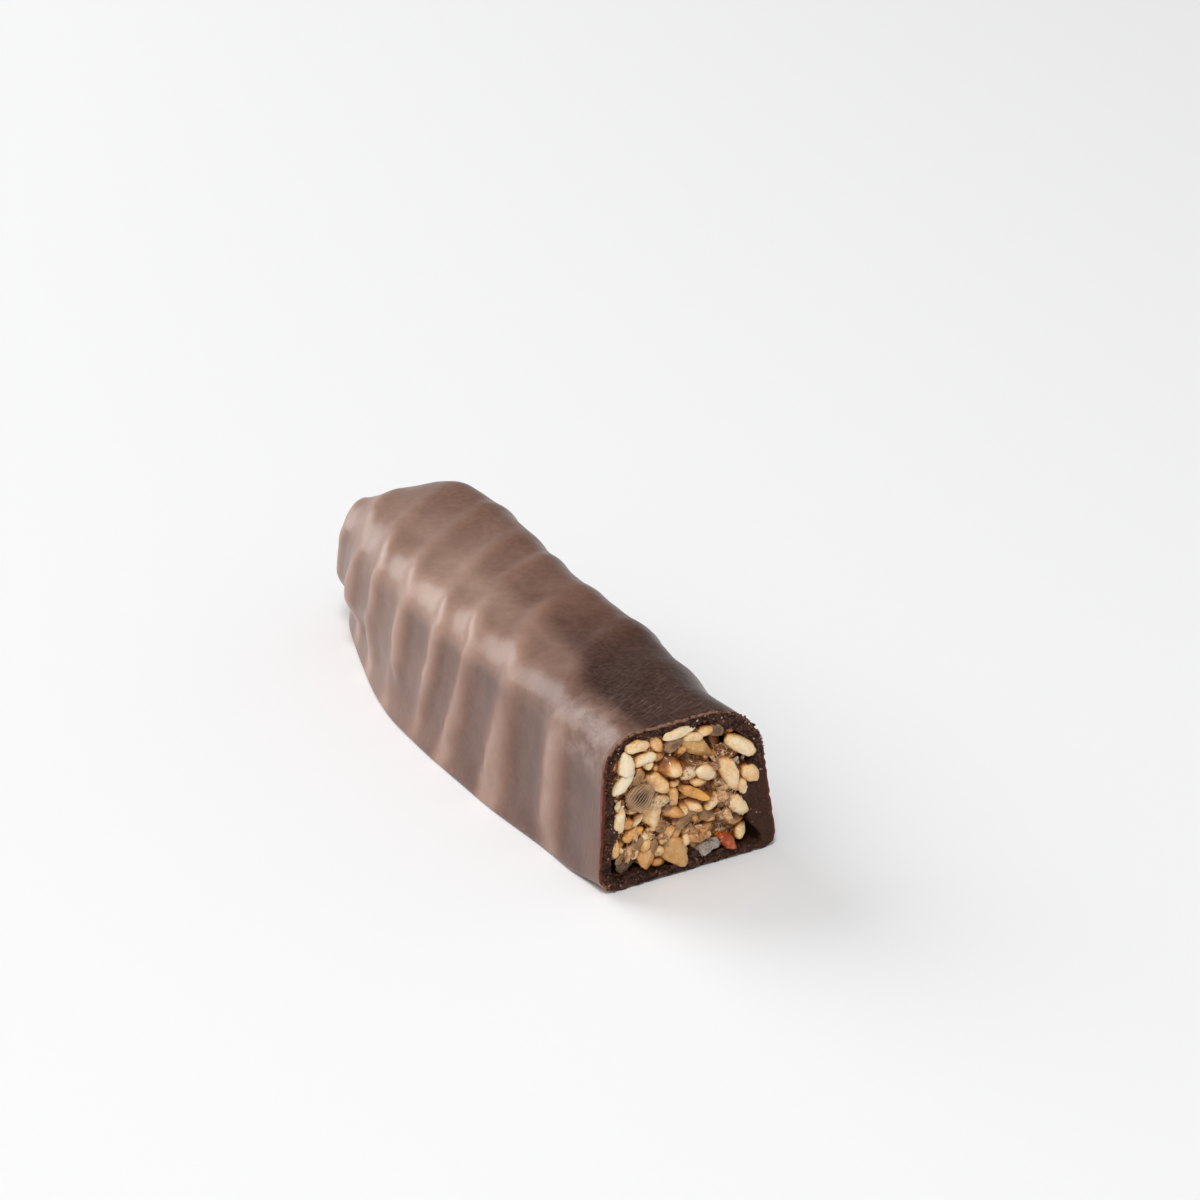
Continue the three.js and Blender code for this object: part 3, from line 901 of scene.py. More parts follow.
# The seeds that can be told apart in the photograph, places in mm from the foot of the cut's middle:
# across, up, how deep, length, width, turn and tilt in degrees, shade, kind
heroSeeds = [
    (-5.2, 13.6, 0.2, 2.4, 1.15, -8, 4, 0.16, "drop"),
    (-3.3, 13.3, 0.75, 2.0, 1.4, -55, -25, 0.62, "drop"),
    (-1.0, 13.8, 0.25, 3.25, 0.98, 1, 3, 0.18, "rod"),
    (0.3, 12.9, 0.4, 2.3, 0.9, -12, 10, 0.25, "rod"),
    (0.95, 11.5, 0.15, 3.2, 2.0, -40, 0, 0.62, "wedge"),
    (3.2, 11.3, 1.3, 2.4, 1.3, -60, 5, 0.62, "drop"),
    (5.15, 10.95, 0.15, 3.3, 1.35, -38, 2, 0.20, "rod"),
    (-6.35, 12.05, 0.15, 2.7, 1.5, 98, -8, -0.25, "drop"),
    (-6.65, 10.45, 0.2, 2.75, 1.2, 232, 8, -0.15, "drop"),
    (-4.45, 12.15, 0.35, 2.2, 1.25, 4, -16, 0.0, "rod"),
    (-2.0, 10.75, 0.35, 2.6, 1.8, -36, -52, 0.24, "drop"),
    (-3.1, 9.5, 0.45, 2.6, 1.5, -50, -34, 0.36, "drop"),
    (1.85, 9.05, 0.35, 2.9, 1.35, -38, 5, 0.28, "drop"),
    (1.15, 8.35, 0.55, 2.0, 1.05, -25, 0, 0.24, "drop"),
    (3.9, 8.5, 0.15, 3.3, 1.45, -68, 3, 0.24, "crescent"),
    (6.2, 7.95, 0.35, 2.2, 1.45, -50, 0, 0.22, "drop"),
    (5.4, 6.85, 0.35, 1.9, 1.2, -60, 10, 0.30, "drop"),
    (4.95, 5.2, 0.15, 2.8, 1.5, -42, -12, 0.20, "drop"),
    (0.4, 7.6, 0.1, 3.1, 0.84, -31, -6, 0.84, "rod"),
    (0.5, 6.3, 0.5, 2.0, 1.25, -42, -28, 0.34, "drop"),
    (-1.6, 7.8, 0.55, 2.1, 1.15, -75, -20, 0.62, "drop"),
    (-3.7, 6.3, 0.1, 2.7, 1.9, -66, -12, 0.34, "shield"),
    (-1.5, 6.05, 0.65, 2.2, 1.35, -10, -30, 0.76, "drop"),
    (2.55, 6.15, 0.45, 2.1, 1.3, 20, 8, 0.26, "drop"),
    (-6.9, 6.8, 0.35, 2.6, 1.2, 82, 0, 0.22, "drop"),
    (-7.2, 4.1, 0.4, 2.0, 0.95, 86, 0, 0.40, "drop"),
    (-5.4, 5.0, 0.3, 1.9, 1.15, 18, 0, 0.84, "drop"),
    (-3.9, 4.3, 0.6, 1.6, 1.0, 5, 0, 0.34, "drop"),
    (2.1, 4.6, 0.7, 1.7, 1.1, -30, -20, 0.76, "drop"),
    (2.2, 3.35, 0.8, 2.2, 1.05, 27, 15, 0.79, "crescent"),
    (-1.0, 1.95, 0.15, 2.8, 1.95, -28, 0, 0.66, "block"),
    (-4.1, 1.95, 0.15, 2.1, 1.6, -70, -10, 0.60, "nub"),
    (0.75, 2.75, 0.8, 1.2, 0.95, -20, 0, 0.7, "drop"),
    (5.0, 3.3, 0.8, 2.7, 1.35, -24, 0, 0.46, "drop"),
    (5.75, 2.1, 0.2, 1.5, 1.0, 60, 0, 0.34, "crescent"),
    (-1.9, 4.0, 0.5, 2.0, 1.1, 22, 12, 0.60, "crescent"),
    (-5.0, 3.4, 0.3, 1.9, 1.0, 60, 0, 0.36, "crescent"),
    (-0.3, 5.1, 0.8, 2.2, 1.2, 8, 0, 0.50, "drop"),
    (4.0, 1.75, 0.0, 2.35, 1.12, -50, 0, 1.0, "drop"),
]

# Broken seeds: the outline that shows from in front, in mm round the seed's middle, front facets as (lean across,
# lean up, how far from the middle), the side that is toasted, and how much the edges are rounded
brokenSeeds = dict(
    wedge=dict(
        middle=(0.82, 11.83),
        outline=[(-1.55, 1.05), (-0.7, 1.3), (0.41, 1.0), (0.92, 0.29), (1.52, -1.02), (1.25, -1.5), (0.64, -1.25),
                 (-0.88, -0.42), (-1.62, 0.4)],
        facets=[(0.2, 0.35, 0.4), (-0.35, -0.7, 0.46)],
        toasted=(0.75, -0.6),
        crisp=13,
    ),
    shield=dict(
        middle=(-3.69, 6.52),
        outline=[(-1.5, 0.81), (-0.64, 1.37), (1.0, 1.1), (0.92, -0.13), (0.7, -1.3), (0.18, -1.3),
                 (-0.75, -0.55)],
        facets=[(-0.62, -0.1, 0.42), (0.35, -0.05, 0.5)],
        toasted=(-0.95, -0.2),
        crisp=16,
    ),
    block=dict(
        middle=(-1.18, 2.23),
        outline=[(-1.55, 0.7), (-1.12, 1.36), (-0.2, 1.42), (0.61, 1.08), (1.16, 0.22), (1.68, -0.92),
                 (1.28, -1.38), (0.43, -1.5), (-0.75, -0.95), (-1.56, -0.2)],
        facets=[(-0.5, 0.05, 0.42), (0.5, 0.3, 0.56)],
        toasted=(-0.6, 0.1),
        crisp=14,
    ),
    nub=dict(
        middle=(-4.07, 2.24),
        outline=[(-1.0, 0.72), (-0.57, 1.02), (0.57, 0.8), (1.08, -0.02), (0.67, -0.87), (-0.05, -1.16),
                 (-0.7, -0.5)],
        facets=[(-0.3, 0.2, 0.42), (0.4, -0.1, 0.45)],
        toasted=(0.1, -0.8),
        crisp=12,
    ),
)

# Seeds that are frosted, crumbly or speckled, in the same terms
frostedSeeds = [
    (-0.1, 9.6, 0.3, 1.75, 1.25, -20, 0, 0.35, "drop"),
    (-3.0, 7.75, 0.3, 2.1, 1.2, 8, 0, 0.5, "stub"),
    (3.7, 7.55, 0.5, 1.9, 0.8, -35, 0, 0.30, "rod"),
    (6.85, 7.8, 0.25, 0.9, 0.45, -55, 0, -0.1, "chunk"),
    (-7.1, 8.4, 0.2, 1.1, 0.6, 60, 0, 0.35, "chunk"),
]

glassyHulls = [                    # across, up, how deep, length, width, turn, tilt, shade, roll
    (-5.1, 8.9, -0.3, 2.85, 2.35, 44, -2, 0.88, -39),
    (-1.6, 12.85, 0.0, 2.0, 1.1, 20, 0, 0.7, 0),
    (2.8, 13.05, -0.15, 1.9, 1.5, -40, 0, 0.95, 0),
    (-5.1, 10.55, 0.0, 1.5, 1.0, 50, 0, 0.35, 0),
    (-0.2, 5.1, 0.0, 2.5, 1.2, 25, 10, 0.5, 0),
    (2.0, 4.9, 0.2, 1.9, 1.1, -20, 0, 0.45, 0),
    (-5.1, 3.6, 0.0, 2.2, 1.3, 55, -10, 0.5, 0),
    (-6.6, 3.0, 0.1, 1.6, 0.9, 30, 20, 0.3, 0),
    (-6.0, 1.9, 0.45, 1.8, 1.2, 20, 0, 1.2, 0),
    (3.2, 9.6, 0.2, 1.3, 0.8, 60, 0, 0.3, 0),
    (-2.8, 5.0, 0.1, 1.6, 0.9, -30, 0, 0.35, 0),
    (-2.2, 3.6, 0.3, 1.5, 0.9, 10, 0, 0.3, 0),
    (3.9, 5.6, 0.3, 1.8, 1.1, 30, 0, 0.6, 0),
    (-3.3, 3.2, 0.1, 1.5, 0.9, 75, 0, 0.4, 0),
]

# Sugar crystals: across, up, how deep, length, width, turn, tilt, shade, roll
sugarCrystals = [
    (1.95, 1.8, 0.1, 2.2, 1.0, 14, 0, 0.3, 0),
    (2.7, 1.95, 0.15, 1.1, 0.8, -40, 0, 0.3, 0),
    (1.25, 1.4, 0.3, 0.8, 0.5, 10, 0, 0.6, 0),
    (3.45, 4.1, 0.3, 0.6, 0.4, 30, 0, 0.5, 0),
    (4.6, 9.8, -0.05, 0.6, 0.3, 30, 0, -0.3, 0),
    (4.85, 9.45, 0.0, 0.5, 0.25, -60, 0, -0.3, 0),
    (5.5, 9.75, 0.1, 0.45, 0.3, 70, 0, -0.2, 0),
    (7.15, 8.0, 0.1, 0.5, 0.3, -60, 0, 0.0, 0),
]

# Where nothing lies and the dark shows: across, up, how far round there, mm
hollowsAt = [(2.15, 12.5, 0.8), (3.4, 11.9, 0.7), (5.15, 9.5, 0.85), (6.8, 1.75, 0.8), (-6.6, 1.85, 1.4),
             (-5.6, 7.3, 0.3), (-0.5, 12.0, 0.35), (3.6, 5.2, 0.3)]

# How olive the cut flesh of a kind is; above nothing, the same attribute turns a seed amber
oliveShare = dict(wedge=-1, block=-1, chunk=-1, stub=-1, nub=-0.5, shield=-0.1)

seedPacking = dict(tries=11000, most=400, depth=(0.6, 3.0), length=(2.1, 3.0), width=(1.05, 1.5), squeeze=0.62,
                   plump=1.07)     # the listed seeds press into each other by this much

# Where the broken face falls back: across, up, how far round there, how deep, mm
facePits = [(-5.2, 3.2, 2.4, 0.5), (5.6, 2.6, 2.4, 0.7), (2.6, 12.6, 1.3, 0.5), (0.3, 4.6, 1.8, 0.25)]


def fallBack(x, z):
    return sum(depth * math.exp(-((x - px) ** 2 + (z - pz) ** 2) / reach ** 2)
               for px, pz, reach, depth in facePits)


def seedForm(name, kind, sides, rings):
    spec = seedShapes[kind]
    draw = random.Random(name)
    cuts = [Vector((draw.uniform(-1, 1), draw.uniform(-1, 1), draw.uniform(-1, 1))).normalized() for _ in range(6)]
    ends = []
    places = []
    for ring in range(1, rings):
        along = -math.cos(math.pi * ring / rings)
        power = mix(spec["blunt"], spec["tip"], ease(-0.5, 0.9, along))
        girth = (1 - abs(along) ** power) ** (1 / power) * (1 - spec["taper"] * along)
        for side in range(sides):
            turn = 2 * math.pi * side / sides
            place = Vector((along, spec["flat"] * girth * math.sin(turn), girth * math.cos(turn)))
            for cut in cuts:       # facets press the form flat
                over = place.dot(cut) - mix(0.95, 0.5, spec["facet"])
                if over > 0:
                    place -= cut * over * 0.75
            place.z += spec["curl"] * (1 - along * along) * 1.2
            places.append(place)
            ends.append(along)
    places = [Vector((-1, 0, 0)), *places, Vector((1, 0, 0))]
    return meshObject(name, [place * 0.5 for place in places], ringFaces(rings - 1, sides, 1, 0, len(places) - 1),
                      {"along": [-1, *ends, 1]}, True)


def nearBroken(x, z, reach):
    return any(math.hypot(x - spec["middle"][0], z - spec["middle"][1]) < reach for spec in brokenSeeds.values())


def brokenForm(name, spec, sides=48, rings=40):    # a block between planes, its edges rounded
    planes = [(Vector((0, 1, 0)), 0.9)]
    planes += [(Vector((across, -1, up)).normalized(), away) for across, up, away in spec["facets"]]
    outline = spec["outline"]
    for i, (x, z) in enumerate(outline):
        onX, onZ = outline[(i + 1) % len(outline)]
        out = Vector((z - onZ, 0, onX - x)).normalized()
        away = out.x * x + out.z * z
        planes.append((out * math.copysign(1, away), abs(away)))
    power = spec["crisp"]
    toasted = Vector((spec["toasted"][0], 0, spec["toasted"][1]))
    ways = [Vector((-1, 0, 0))]
    for ring in range(1, rings):
        angle = math.pi * ring / rings
        for side in range(sides):
            turn = 2 * math.pi * side / sides
            ways.append(Vector((-math.cos(angle), math.sin(angle) * math.sin(turn),
                                math.sin(angle) * math.cos(turn))))
    ways.append(Vector((1, 0, 0)))
    places = [way / sum(max(0, way.dot(facing) / away) ** power for facing, away in planes) ** (1 / power)
              for way in ways]
    return meshObject(name, places, ringFaces(rings - 1, sides, 1, 0, len(places) - 1),
                      {"along": [place.dot(toasted) for place in places]}, True)


def seedTurn(turn, tilt, roll):    # as Euler angles, from degrees
    turned = Matrix.Rotation(-math.radians(turn), 3, "Y") @ Matrix.Rotation(math.radians(tilt), 3, "Z")
    return (turned @ Matrix.Rotation(math.radians(roll), 3, "X")).to_euler()


def longWay(euler):
    return euler.to_matrix() @ Vector((1, 0, 0))


def hullRows(table):
    draw = random.Random(2)
    return [dict(place=(x, deep + fallBack(x, z), z), size=(length, width), thin=1.2, frost=1, amber=0,
                 shade=shade, tint=draw.random(), turn=seedTurn(turn, tilt, roll + draw.uniform(-12, 12)))
            for x, z, deep, length, width, turn, tilt, shade, roll in table]


def rodGap(place, way, half, places, ways, halves):    # least distance between one rod and many
    steps = np.linspace(-1, 1, 5)
    mine = place + np.outer(steps * half, way)
    theirs = places[:, None, :] + ways[:, None, :] * (halves[:, None] * steps)[:, :, None]
    apart = np.linalg.norm(theirs[:, :, None, :] - mine[None, None, :, :], axis=3)
    return apart.min(axis=(1, 2))


def packSeeds(spec):               # the listed seeds, then others wherever they still fit
    draw = random.Random(11)
    rows = []
    for x, z, deep, length, width, turn, tilt, shade, kind in heroSeeds + frostedSeeds:
        rows.append(dict(place=(x, deep - 0.15 + fallBack(x, z), z), kind=kind,
                         size=(length * spec["plump"], width * spec["plump"]),
                         turn=seedTurn(turn, tilt + draw.uniform(-14, 14), draw.uniform(-25, 25)),
                         shade=min(shade, 0.8), tint=draw.random(),
                         amber=oliveShare.get(kind, max(0, shade - 0.8) * 5),
                         thin=draw.uniform(0.8, 1.05), frost=len(rows) >= len(heroSeeds)))
    angles = np.linspace(-math.pi, math.pi, 180)
    plain = reachOf(fillingOutline(), angles)
    reach = plain + openingChange(angles)
    belly = section["belly"]
    taken = rows + hullRows(glassyHulls[:1] + sugarCrystals[:3])
    arrays = [np.array([row["place"] for row in taken], float),
              np.array([longWay(row["turn"]) for row in taken], float),
              np.array([max(0.1, row["size"][0] / 2 - row["size"][1] * 0.42) for row in taken]),
              np.array([row["size"][1] * 0.42 for row in taken])]
    for attempt in range(spec["tries"]):
        if len(rows) >= spec["most"]:
            break
        length, width = draw.uniform(*spec["length"]), draw.uniform(*spec["width"])
        x, z = draw.uniform(-8, 7), draw.uniform(1, 14.2)
        deep = mix(*spec["depth"], draw.random() * min(1, 0.25 + attempt / spec["tries"])) + fallBack(x, z)
        arm = math.hypot(x, z - belly)
        edge = np.interp(math.atan2(z - belly, x), angles, reach)
        if arm > edge - 0.3 or any(math.hypot(x - hx, z - hz) < size for hx, hz, size in hollowsAt):
            continue
        if deep < 2 and nearBroken(x, z, 1.35):
            continue
        turn = seedTurn(draw.uniform(0, 180), draw.uniform(-70, 70), draw.uniform(0, 180))
        place = np.array((x, deep, z))
        way = np.array(longWay(turn))
        half = length / 2 - width * 0.42
        ends = [place + way * length / 2 * side for side in (-1, 1)]
        if any(math.hypot(x, z - belly) > 0.3 + np.interp(math.atan2(z - belly, x), angles, plain)
               for x, y, z in ends):
            continue               # it would come out through the coating
        gaps = rodGap(place, way, half, *arrays[:3]) - (arrays[3] + width * 0.42) * spec["squeeze"]
        if gaps.min() < 0:
            continue
        kind = draw.choice(("drop", "drop", "drop", "rod"))
        rows.append(dict(place=tuple(place), size=(length, width), turn=turn, kind=kind, thin=1,
                         frost=False, amber=0,
                         shade=min(0.9, max(0.05, draw.gauss(0.48, 0.22))), tint=draw.random()))
        for i, value in enumerate((place, way, half, width * 0.42)):
            arrays[i] = np.concatenate([arrays[i], [value]])
    return rows


def seedTree():
    tree, entry = geometryTree("laySeeds", {
        "Seed Form": "Object", "Lump Size": 1.1 * mm, "Lump Height": 0.12 * mm,
        "Wrinkle Size": 0.36 * mm, "Wrinkle Height": 0.0, "Finish": "Material"})
    form = take(tree, "GeometryNodeObjectInfo", {"Object": entry["Seed Form"], "As Instance": True}, "Geometry")
    points = take(tree, "GeometryNodeMeshToPoints", {"Mesh": entry["Geometry"]})
    turned = take(tree, "FunctionNodeEulerToRotation", {0: attributeField(tree, "turn", "FLOAT_VECTOR")})
    laid = take(tree, "GeometryNodeInstanceOnPoints", {
        "Points": points, "Instance": form, "Rotation": turned,
        "Scale": attributeField(tree, "size", "FLOAT_VECTOR")})
    shaped = take(tree, "GeometryNodeRealizeInstances", {"Geometry": laid})
    place = take(tree, "GeometryNodeInputPosition")
    for relief in ("Lump", "Wrinkle"):
        noise = take(tree, "ShaderNodeTexNoise", {
            "Vector": place, "Scale": entry[relief + " Size"] ** -1, "Detail": 2.0}, "Color")
        middle = take(tree, "ShaderNodeVectorMath", {0: noise, 1: (0.5, 0.5, 0.5)}, operation="SUBTRACT")
        shaped = movePoints(shaped, Offset=scaled(middle, entry[relief + " Height"] * 2))
    endTree(shaped, entry["Finish"])
    return tree


def laySeeds(name, form, rows, tree, finish, lump=0.12, wrinkle=0.0):
    places = [Vector((faceMiddle + row["place"][0], cutPlane + row["place"][1], row["place"][2])) * mm
              for row in rows]
    source = meshObject(name + "Points", places, (), {
        "turn": [tuple(row["turn"]) for row in rows],
        "size": [(row["size"][0] * mm, row["size"][1] * row["thin"] * mm, row["size"][1] * mm) for row in rows],
        **{look: [float(row[look]) for row in rows] for look in ("shade", "tint", "frost", "amber")},
    })
    made = makeByTree(name, source, tree, {"Seed Form": form, "Lump Height": lump * mm,
                                           "Wrinkle Height": wrinkle * mm, "Finish": finish})
    bpy.data.objects.remove(form)
    return made


seedTones = [                      # from the palest hull to a toasted one
    (0.0, (1.0, 0.81, 0.57)),
    (0.2, (0.96, 0.64, 0.34)),
    (0.42, (0.80, 0.42, 0.14)),
    (0.68, (0.50, 0.205, 0.050)),
    (1.0, (0.25, 0.080, 0.015)),
]


def seedMaterial():
    material, tree, place = newMaterial(
        "sesameHull", Roughness=0.28, Specular_IOR_Level=0.35, Coat_Weight=0.4, Coat_Roughness=0.11,
        Subsurface_Weight=0.4, Subsurface_Scale=0.0006, Subsurface_Radius=(1.0, 0.55, 0.25))
    behind = place.xyz(mm)[1] - cutPlane
    shade, tint, along, frost, amber, sunk = meshFields(tree, "shade tint along frost amber sunk")
    blotch = noiseField(tree, 1.1, place, 3.0)
    freckled = noiseField(tree, 0.2, place, 3.0)
    crystals = noiseField(tree, 0.22, place, 3.0)
    height, specks = grained(tree, 0.3, 0.1)
    toasted = along.ease(0.45, 1.0) * (0.2 + amber.ease(0, -0.1) * 0.2) + (tint - 0.5) * 0.12
    toasted = toasted + (blotch - 0.5) * 0.6 + (freckled - 0.5) * 0.45
    deep = amber.ease(0.5, 1.0)
    ember = mixColour(blotch.ease(0.4, 0.6), (0.64, 0.17, 0.010), (0.38, 0.042, 0.002))
    # painted shade: seeds darken on their flanks, in the gaps between them and far behind the cut, by how far they
    # lie below the seeds around them
    recessShade = (sunk.ease(0.9, 2.2) * 0.9 + behind.ease(0.9, 2.4) * 0.5).bounded()
    base = paint(
        addRamp(shade * 0.66 + toasted + sunk.ease(0.08, 0.8) * 0.95, seedTones),
        (amber.ease(0, -1) * 0.42, (0.50, 0.32, 0.12)),
        (amber.ease(0.0, 0.1) * (0.15 + along.ease(-0.3, 0.8) * 0.85 + deep).bounded(),
         mixColour(deep, (0.92, 0.45, 0.085), ember)),
        (specks * 0.45 * (1 - deep), (0.30, 0.13, 0.045)),
        (frost * crystals.ease(0.45, 0.6) * 0.75, (0.80, 0.68, 0.56)),
        (frost * crystals.ease(0.42, 0.34) * 0.8, (0.12, 0.07, 0.045)),
        (recessShade, (0.065, 0.024, 0.009)),
    )
    height = height + frost * crystals * 4 + blotch * 1.5 + noiseField(tree, 0.13, place) + freckled
    return linkShader(material, (height, 0.045, 0.9), Base_Color=base)


seedRows = packSeeds(seedPacking)
seedNodes = seedTree()
seedFinish = seedMaterial()
seedPieces = []


def addSeeds(name, form, rows, *relief):
    piece = laySeeds(name, form, rows, seedNodes, seedFinish, *relief)
    finishPiece(piece)
    seedPieces.append(piece)


heroCount = len(heroSeeds) + len(frostedSeeds)
for kind in seedShapes:
    mine = [row for row in seedRows[:heroCount] if row["kind"] == kind]
    rough = 0.7 if kind in ("chunk", "stub") else 1
    addSeeds(kind + "Seeds", seedForm(kind + "Form", kind, 36, 28), mine, 0.19 * rough, 0.06 * rough)
for kind, spec in brokenSeeds.items():
    row = next(row for row in seedRows if row["kind"] == kind)
    x, z = spec["middle"]
    row = {**row, "place": (x, row["place"][1] + 0.3, z), "size": (1, 1), "thin": 1, "turn": (0, 0, 0)}
    addSeeds(kind + "Seed", brokenForm(kind + "Form", spec), [row], 0.11, 0.07)
for kind in ("drop", "rod"):
    others = [row for row in seedRows[heroCount:] if row["kind"] == kind]
    addSeeds("packed" + kind.capitalize() + "s", seedForm(kind + "PackedForm", kind, 10, 8), others)
print("seeds laid:", len(seedRows))


# What is felt from in front of the cut, over a grid: how deep the seeds lie, and how far below their neighbours

gridStep = 0.11                    # mm
gridAcross = np.arange(-8.4, 7.6, gridStep)
gridUp = np.arange(0.6, 14.8, gridStep)


def feelTree(pieces):
    places, faces = [], []
    for piece in pieces:
        start = len(places)
        places += [vertex.co for vertex in piece.data.vertices]
        faces += [[start + i for i in polygon.vertices] for polygon in piece.data.polygons]
    return BVHTree.FromPolygons(places, faces)


def feelDepth(tree):               # how far behind the cut the nearest seed is, over a grid
    ahead = Vector((0, 1, 0))
    depth = np.full((len(gridUp), len(gridAcross)), 3.2)
    for row, z in enumerate(gridUp):
        for column, x in enumerate(gridAcross):
            hit = tree.ray_cast(Vector((faceMiddle + x, cutPlane - 3, z)) * mm, ahead)[0]
            if hit is not None:
                depth[row, column] = hit.y / mm - cutPlane
    return depth


def ballStroke(height, radius, way):    # way 1 lifts the surface by the ball, -1 lowers it again
    reach = int(radius / gridStep)
    padded = np.pad(height, reach, mode="edge")
    best = np.full(height.shape, -1e9 * way)
    for i in range(-reach, reach + 1):
        for j in range(-reach, reach + 1):
            room = radius ** 2 - (i * i + j * j) * gridStep ** 2
            if room < 0:
                continue
            rows = slice(reach + i, reach + i + height.shape[0])
            columns = slice(reach + j, reach + j + height.shape[1])
            moved = padded[rows, columns] + way * math.sqrt(room)
            best = np.maximum(best, moved) if way > 0 else np.minimum(best, moved)
    return best


def sampleGrid(grid, places):      # the grid's value in front of each place, between its four nearest points
    across = np.clip((places[:, 0] / mm - faceMiddle - gridAcross[0]) / gridStep, 0, len(gridAcross) - 1.001)
    up = np.clip((places[:, 2] / mm - gridUp[0]) / gridStep, 0, len(gridUp) - 1.001)
    column, row = across.astype(int), up.astype(int)
    right, above = across - column, up - row
    low = mix(grid[row, column], grid[row, column + 1], right)
    high = mix(grid[row + 1, column], grid[row + 1, column + 1], right)
    return mix(low, high, above)


def markSunk(piece, top):          # how far each point lies below the tops of the seeds around it, mm
    mesh = piece.data
    places = np.empty(len(mesh.vertices) * 3, dtype=np.float32)
    mesh.vertices.foreach_get("co", places)
    places = places.reshape(-1, 3)
    sunk = sampleGrid(top, places) + places[:, 1] / mm - cutPlane
    mesh.attributes.new("sunk", "FLOAT", "POINT").data.foreach_set("value", np.maximum(sunk, 0).astype(np.float32))


# how far below their neighbours seeds and flakes lie sets their painted shade
neighbourhood = 1.1                # mm
seedHeight = -feelDepth(feelTree([*seedPieces, core]))
seedTops = ballStroke(seedHeight, neighbourhood, 1) - neighbourhood
for piece in seedPieces:
    markSunk(piece, seedTops)
print("depths felt")


# Syrup that has set between the seeds

syrupShape = dict(
    ball=0.8,                      # mm, the syrup's surface is what a ball of this size leaves between seeds
    recess=0.3,
    margin=0.15,
    thickness=0.3,
)


def syrupSheet(spec, height):
    draw = np.random.default_rng(3)
    bridged = ballStroke(ballStroke(height, spec["ball"], 1), spec["ball"], -1)
    acrossX, upZ = np.meshgrid(gridAcross, gridUp)
    angles = np.linspace(-math.pi, math.pi, 180)
    reach = reachOf(fillingOutline(), angles) + openingChange(angles)
    arms = np.hypot(acrossX, upZ - section["belly"])
    edge = np.interp(np.arctan2(upZ - section["belly"], acrossX), angles, reach)
    inside = arms < edge + spec["margin"]
    for x, z, size in hollowsAt:
        inside &= np.hypot(acrossX - x, upZ - z) > size * 0.8
    waves = sum(np.sin(acrossX * fx + upZ * fz + turn) for fx, fz, turn in zip(
        draw.uniform(-2.2, 2.2, 6), draw.uniform(-2.2, 2.2, 6), draw.uniform(0, 6.3, 6))) / 6
    share = np.clip(0.65 + waves * 1.2, 0.0, 1)
    surface = mix(height, bridged, share) - spec["recess"]
    thick = np.clip(surface - height, 0, 3)
    index = -np.ones(height.shape, int)
    index[inside] = np.arange(inside.sum())
    places = np.stack([acrossX[inside] + faceMiddle, cutPlane - surface[inside], upZ[inside]], 1) * mm
    cells = inside[:-1, :-1] & inside[1:, :-1] & inside[:-1, 1:] & inside[1:, 1:]
    rows, columns = np.nonzero(cells)
    faces = np.stack([index[rows, columns], index[rows, columns + 1],
                      index[rows + 1, columns + 1], index[rows + 1, columns]], 1)
    return places, faces.tolist(), thick[inside]


def giveWall(made, thickness):     # a sheet gets its wall, behind the face that shows
    solid = made.modifiers.new("wall", "SOLIDIFY")
    solid.thickness = thickness * mm
    solid.offset = -1
    evaluated = made.evaluated_get(bpy.context.evaluated_depsgraph_get())
    walled = bpy.data.meshes.new_from_object(evaluated)
    made.modifiers.clear()
    made.data = walled
    walled.shade_smooth()


def syrupMaterial():
    material, tree, place = newMaterial("syrupFilm", Roughness=0.12, IOR=1.46, Specular_IOR_Level=0.4)
    thick, = meshFields(tree, "thick")
    cloud = noiseField(tree, 0.7, place, 3.0)
    grains = noiseField(tree, 0.16, place, 3.0)
    dots = grains.ease(0.56, 0.66)
    bent = scaled(noiseField(tree, 0.6, place, output="Color"), 0.7 * mm)
    warped = take(tree, "ShaderNodeVectorMath", {0: place, 1: bent}, operation="ADD")
    cells = take(tree, "ShaderNodeTexVoronoi", {"Vector": warped, "Scale": 1 / (0.62 * mm)},
                 feature="DISTANCE_TO_EDGE")
    creases = cells.ease(0.1, 0.02) * cloud.ease(0.36, 0.52)
    base = paint(
        mixColour((thick * 0.8 + cloud * 0.8 - 0.3).bounded(), (0.58, 0.25, 0.075), (0.17, 0.052, 0.012)),
        (dots * 0.35, (0.62, 0.38, 0.19)),
        (creases * 0.8, (0.84, 0.60, 0.38)),
    )
    height = noiseField(tree, 0.35, place, 3.0) + grains * 0.4 + creases * 0.4
    return linkShader(material, (height, 0.14, 0.9), Base_Color=base,
                      Alpha=(0.25 + thick.ease(0.05, 0.8) * 0.5 + dots * 0.2 + creases * 0.5).bounded())


syrupFront = syrupSheet(syrupShape, seedHeight)
syrup = meshObject("syrup", syrupFront[0], syrupFront[1], {"thick": syrupFront[2]})
giveWall(syrup, syrupShape["thickness"])
syrup.data.materials.append(syrupMaterial())
finishPiece(syrup)


# Glassy empty hulls, torn flakes, threads and crystals

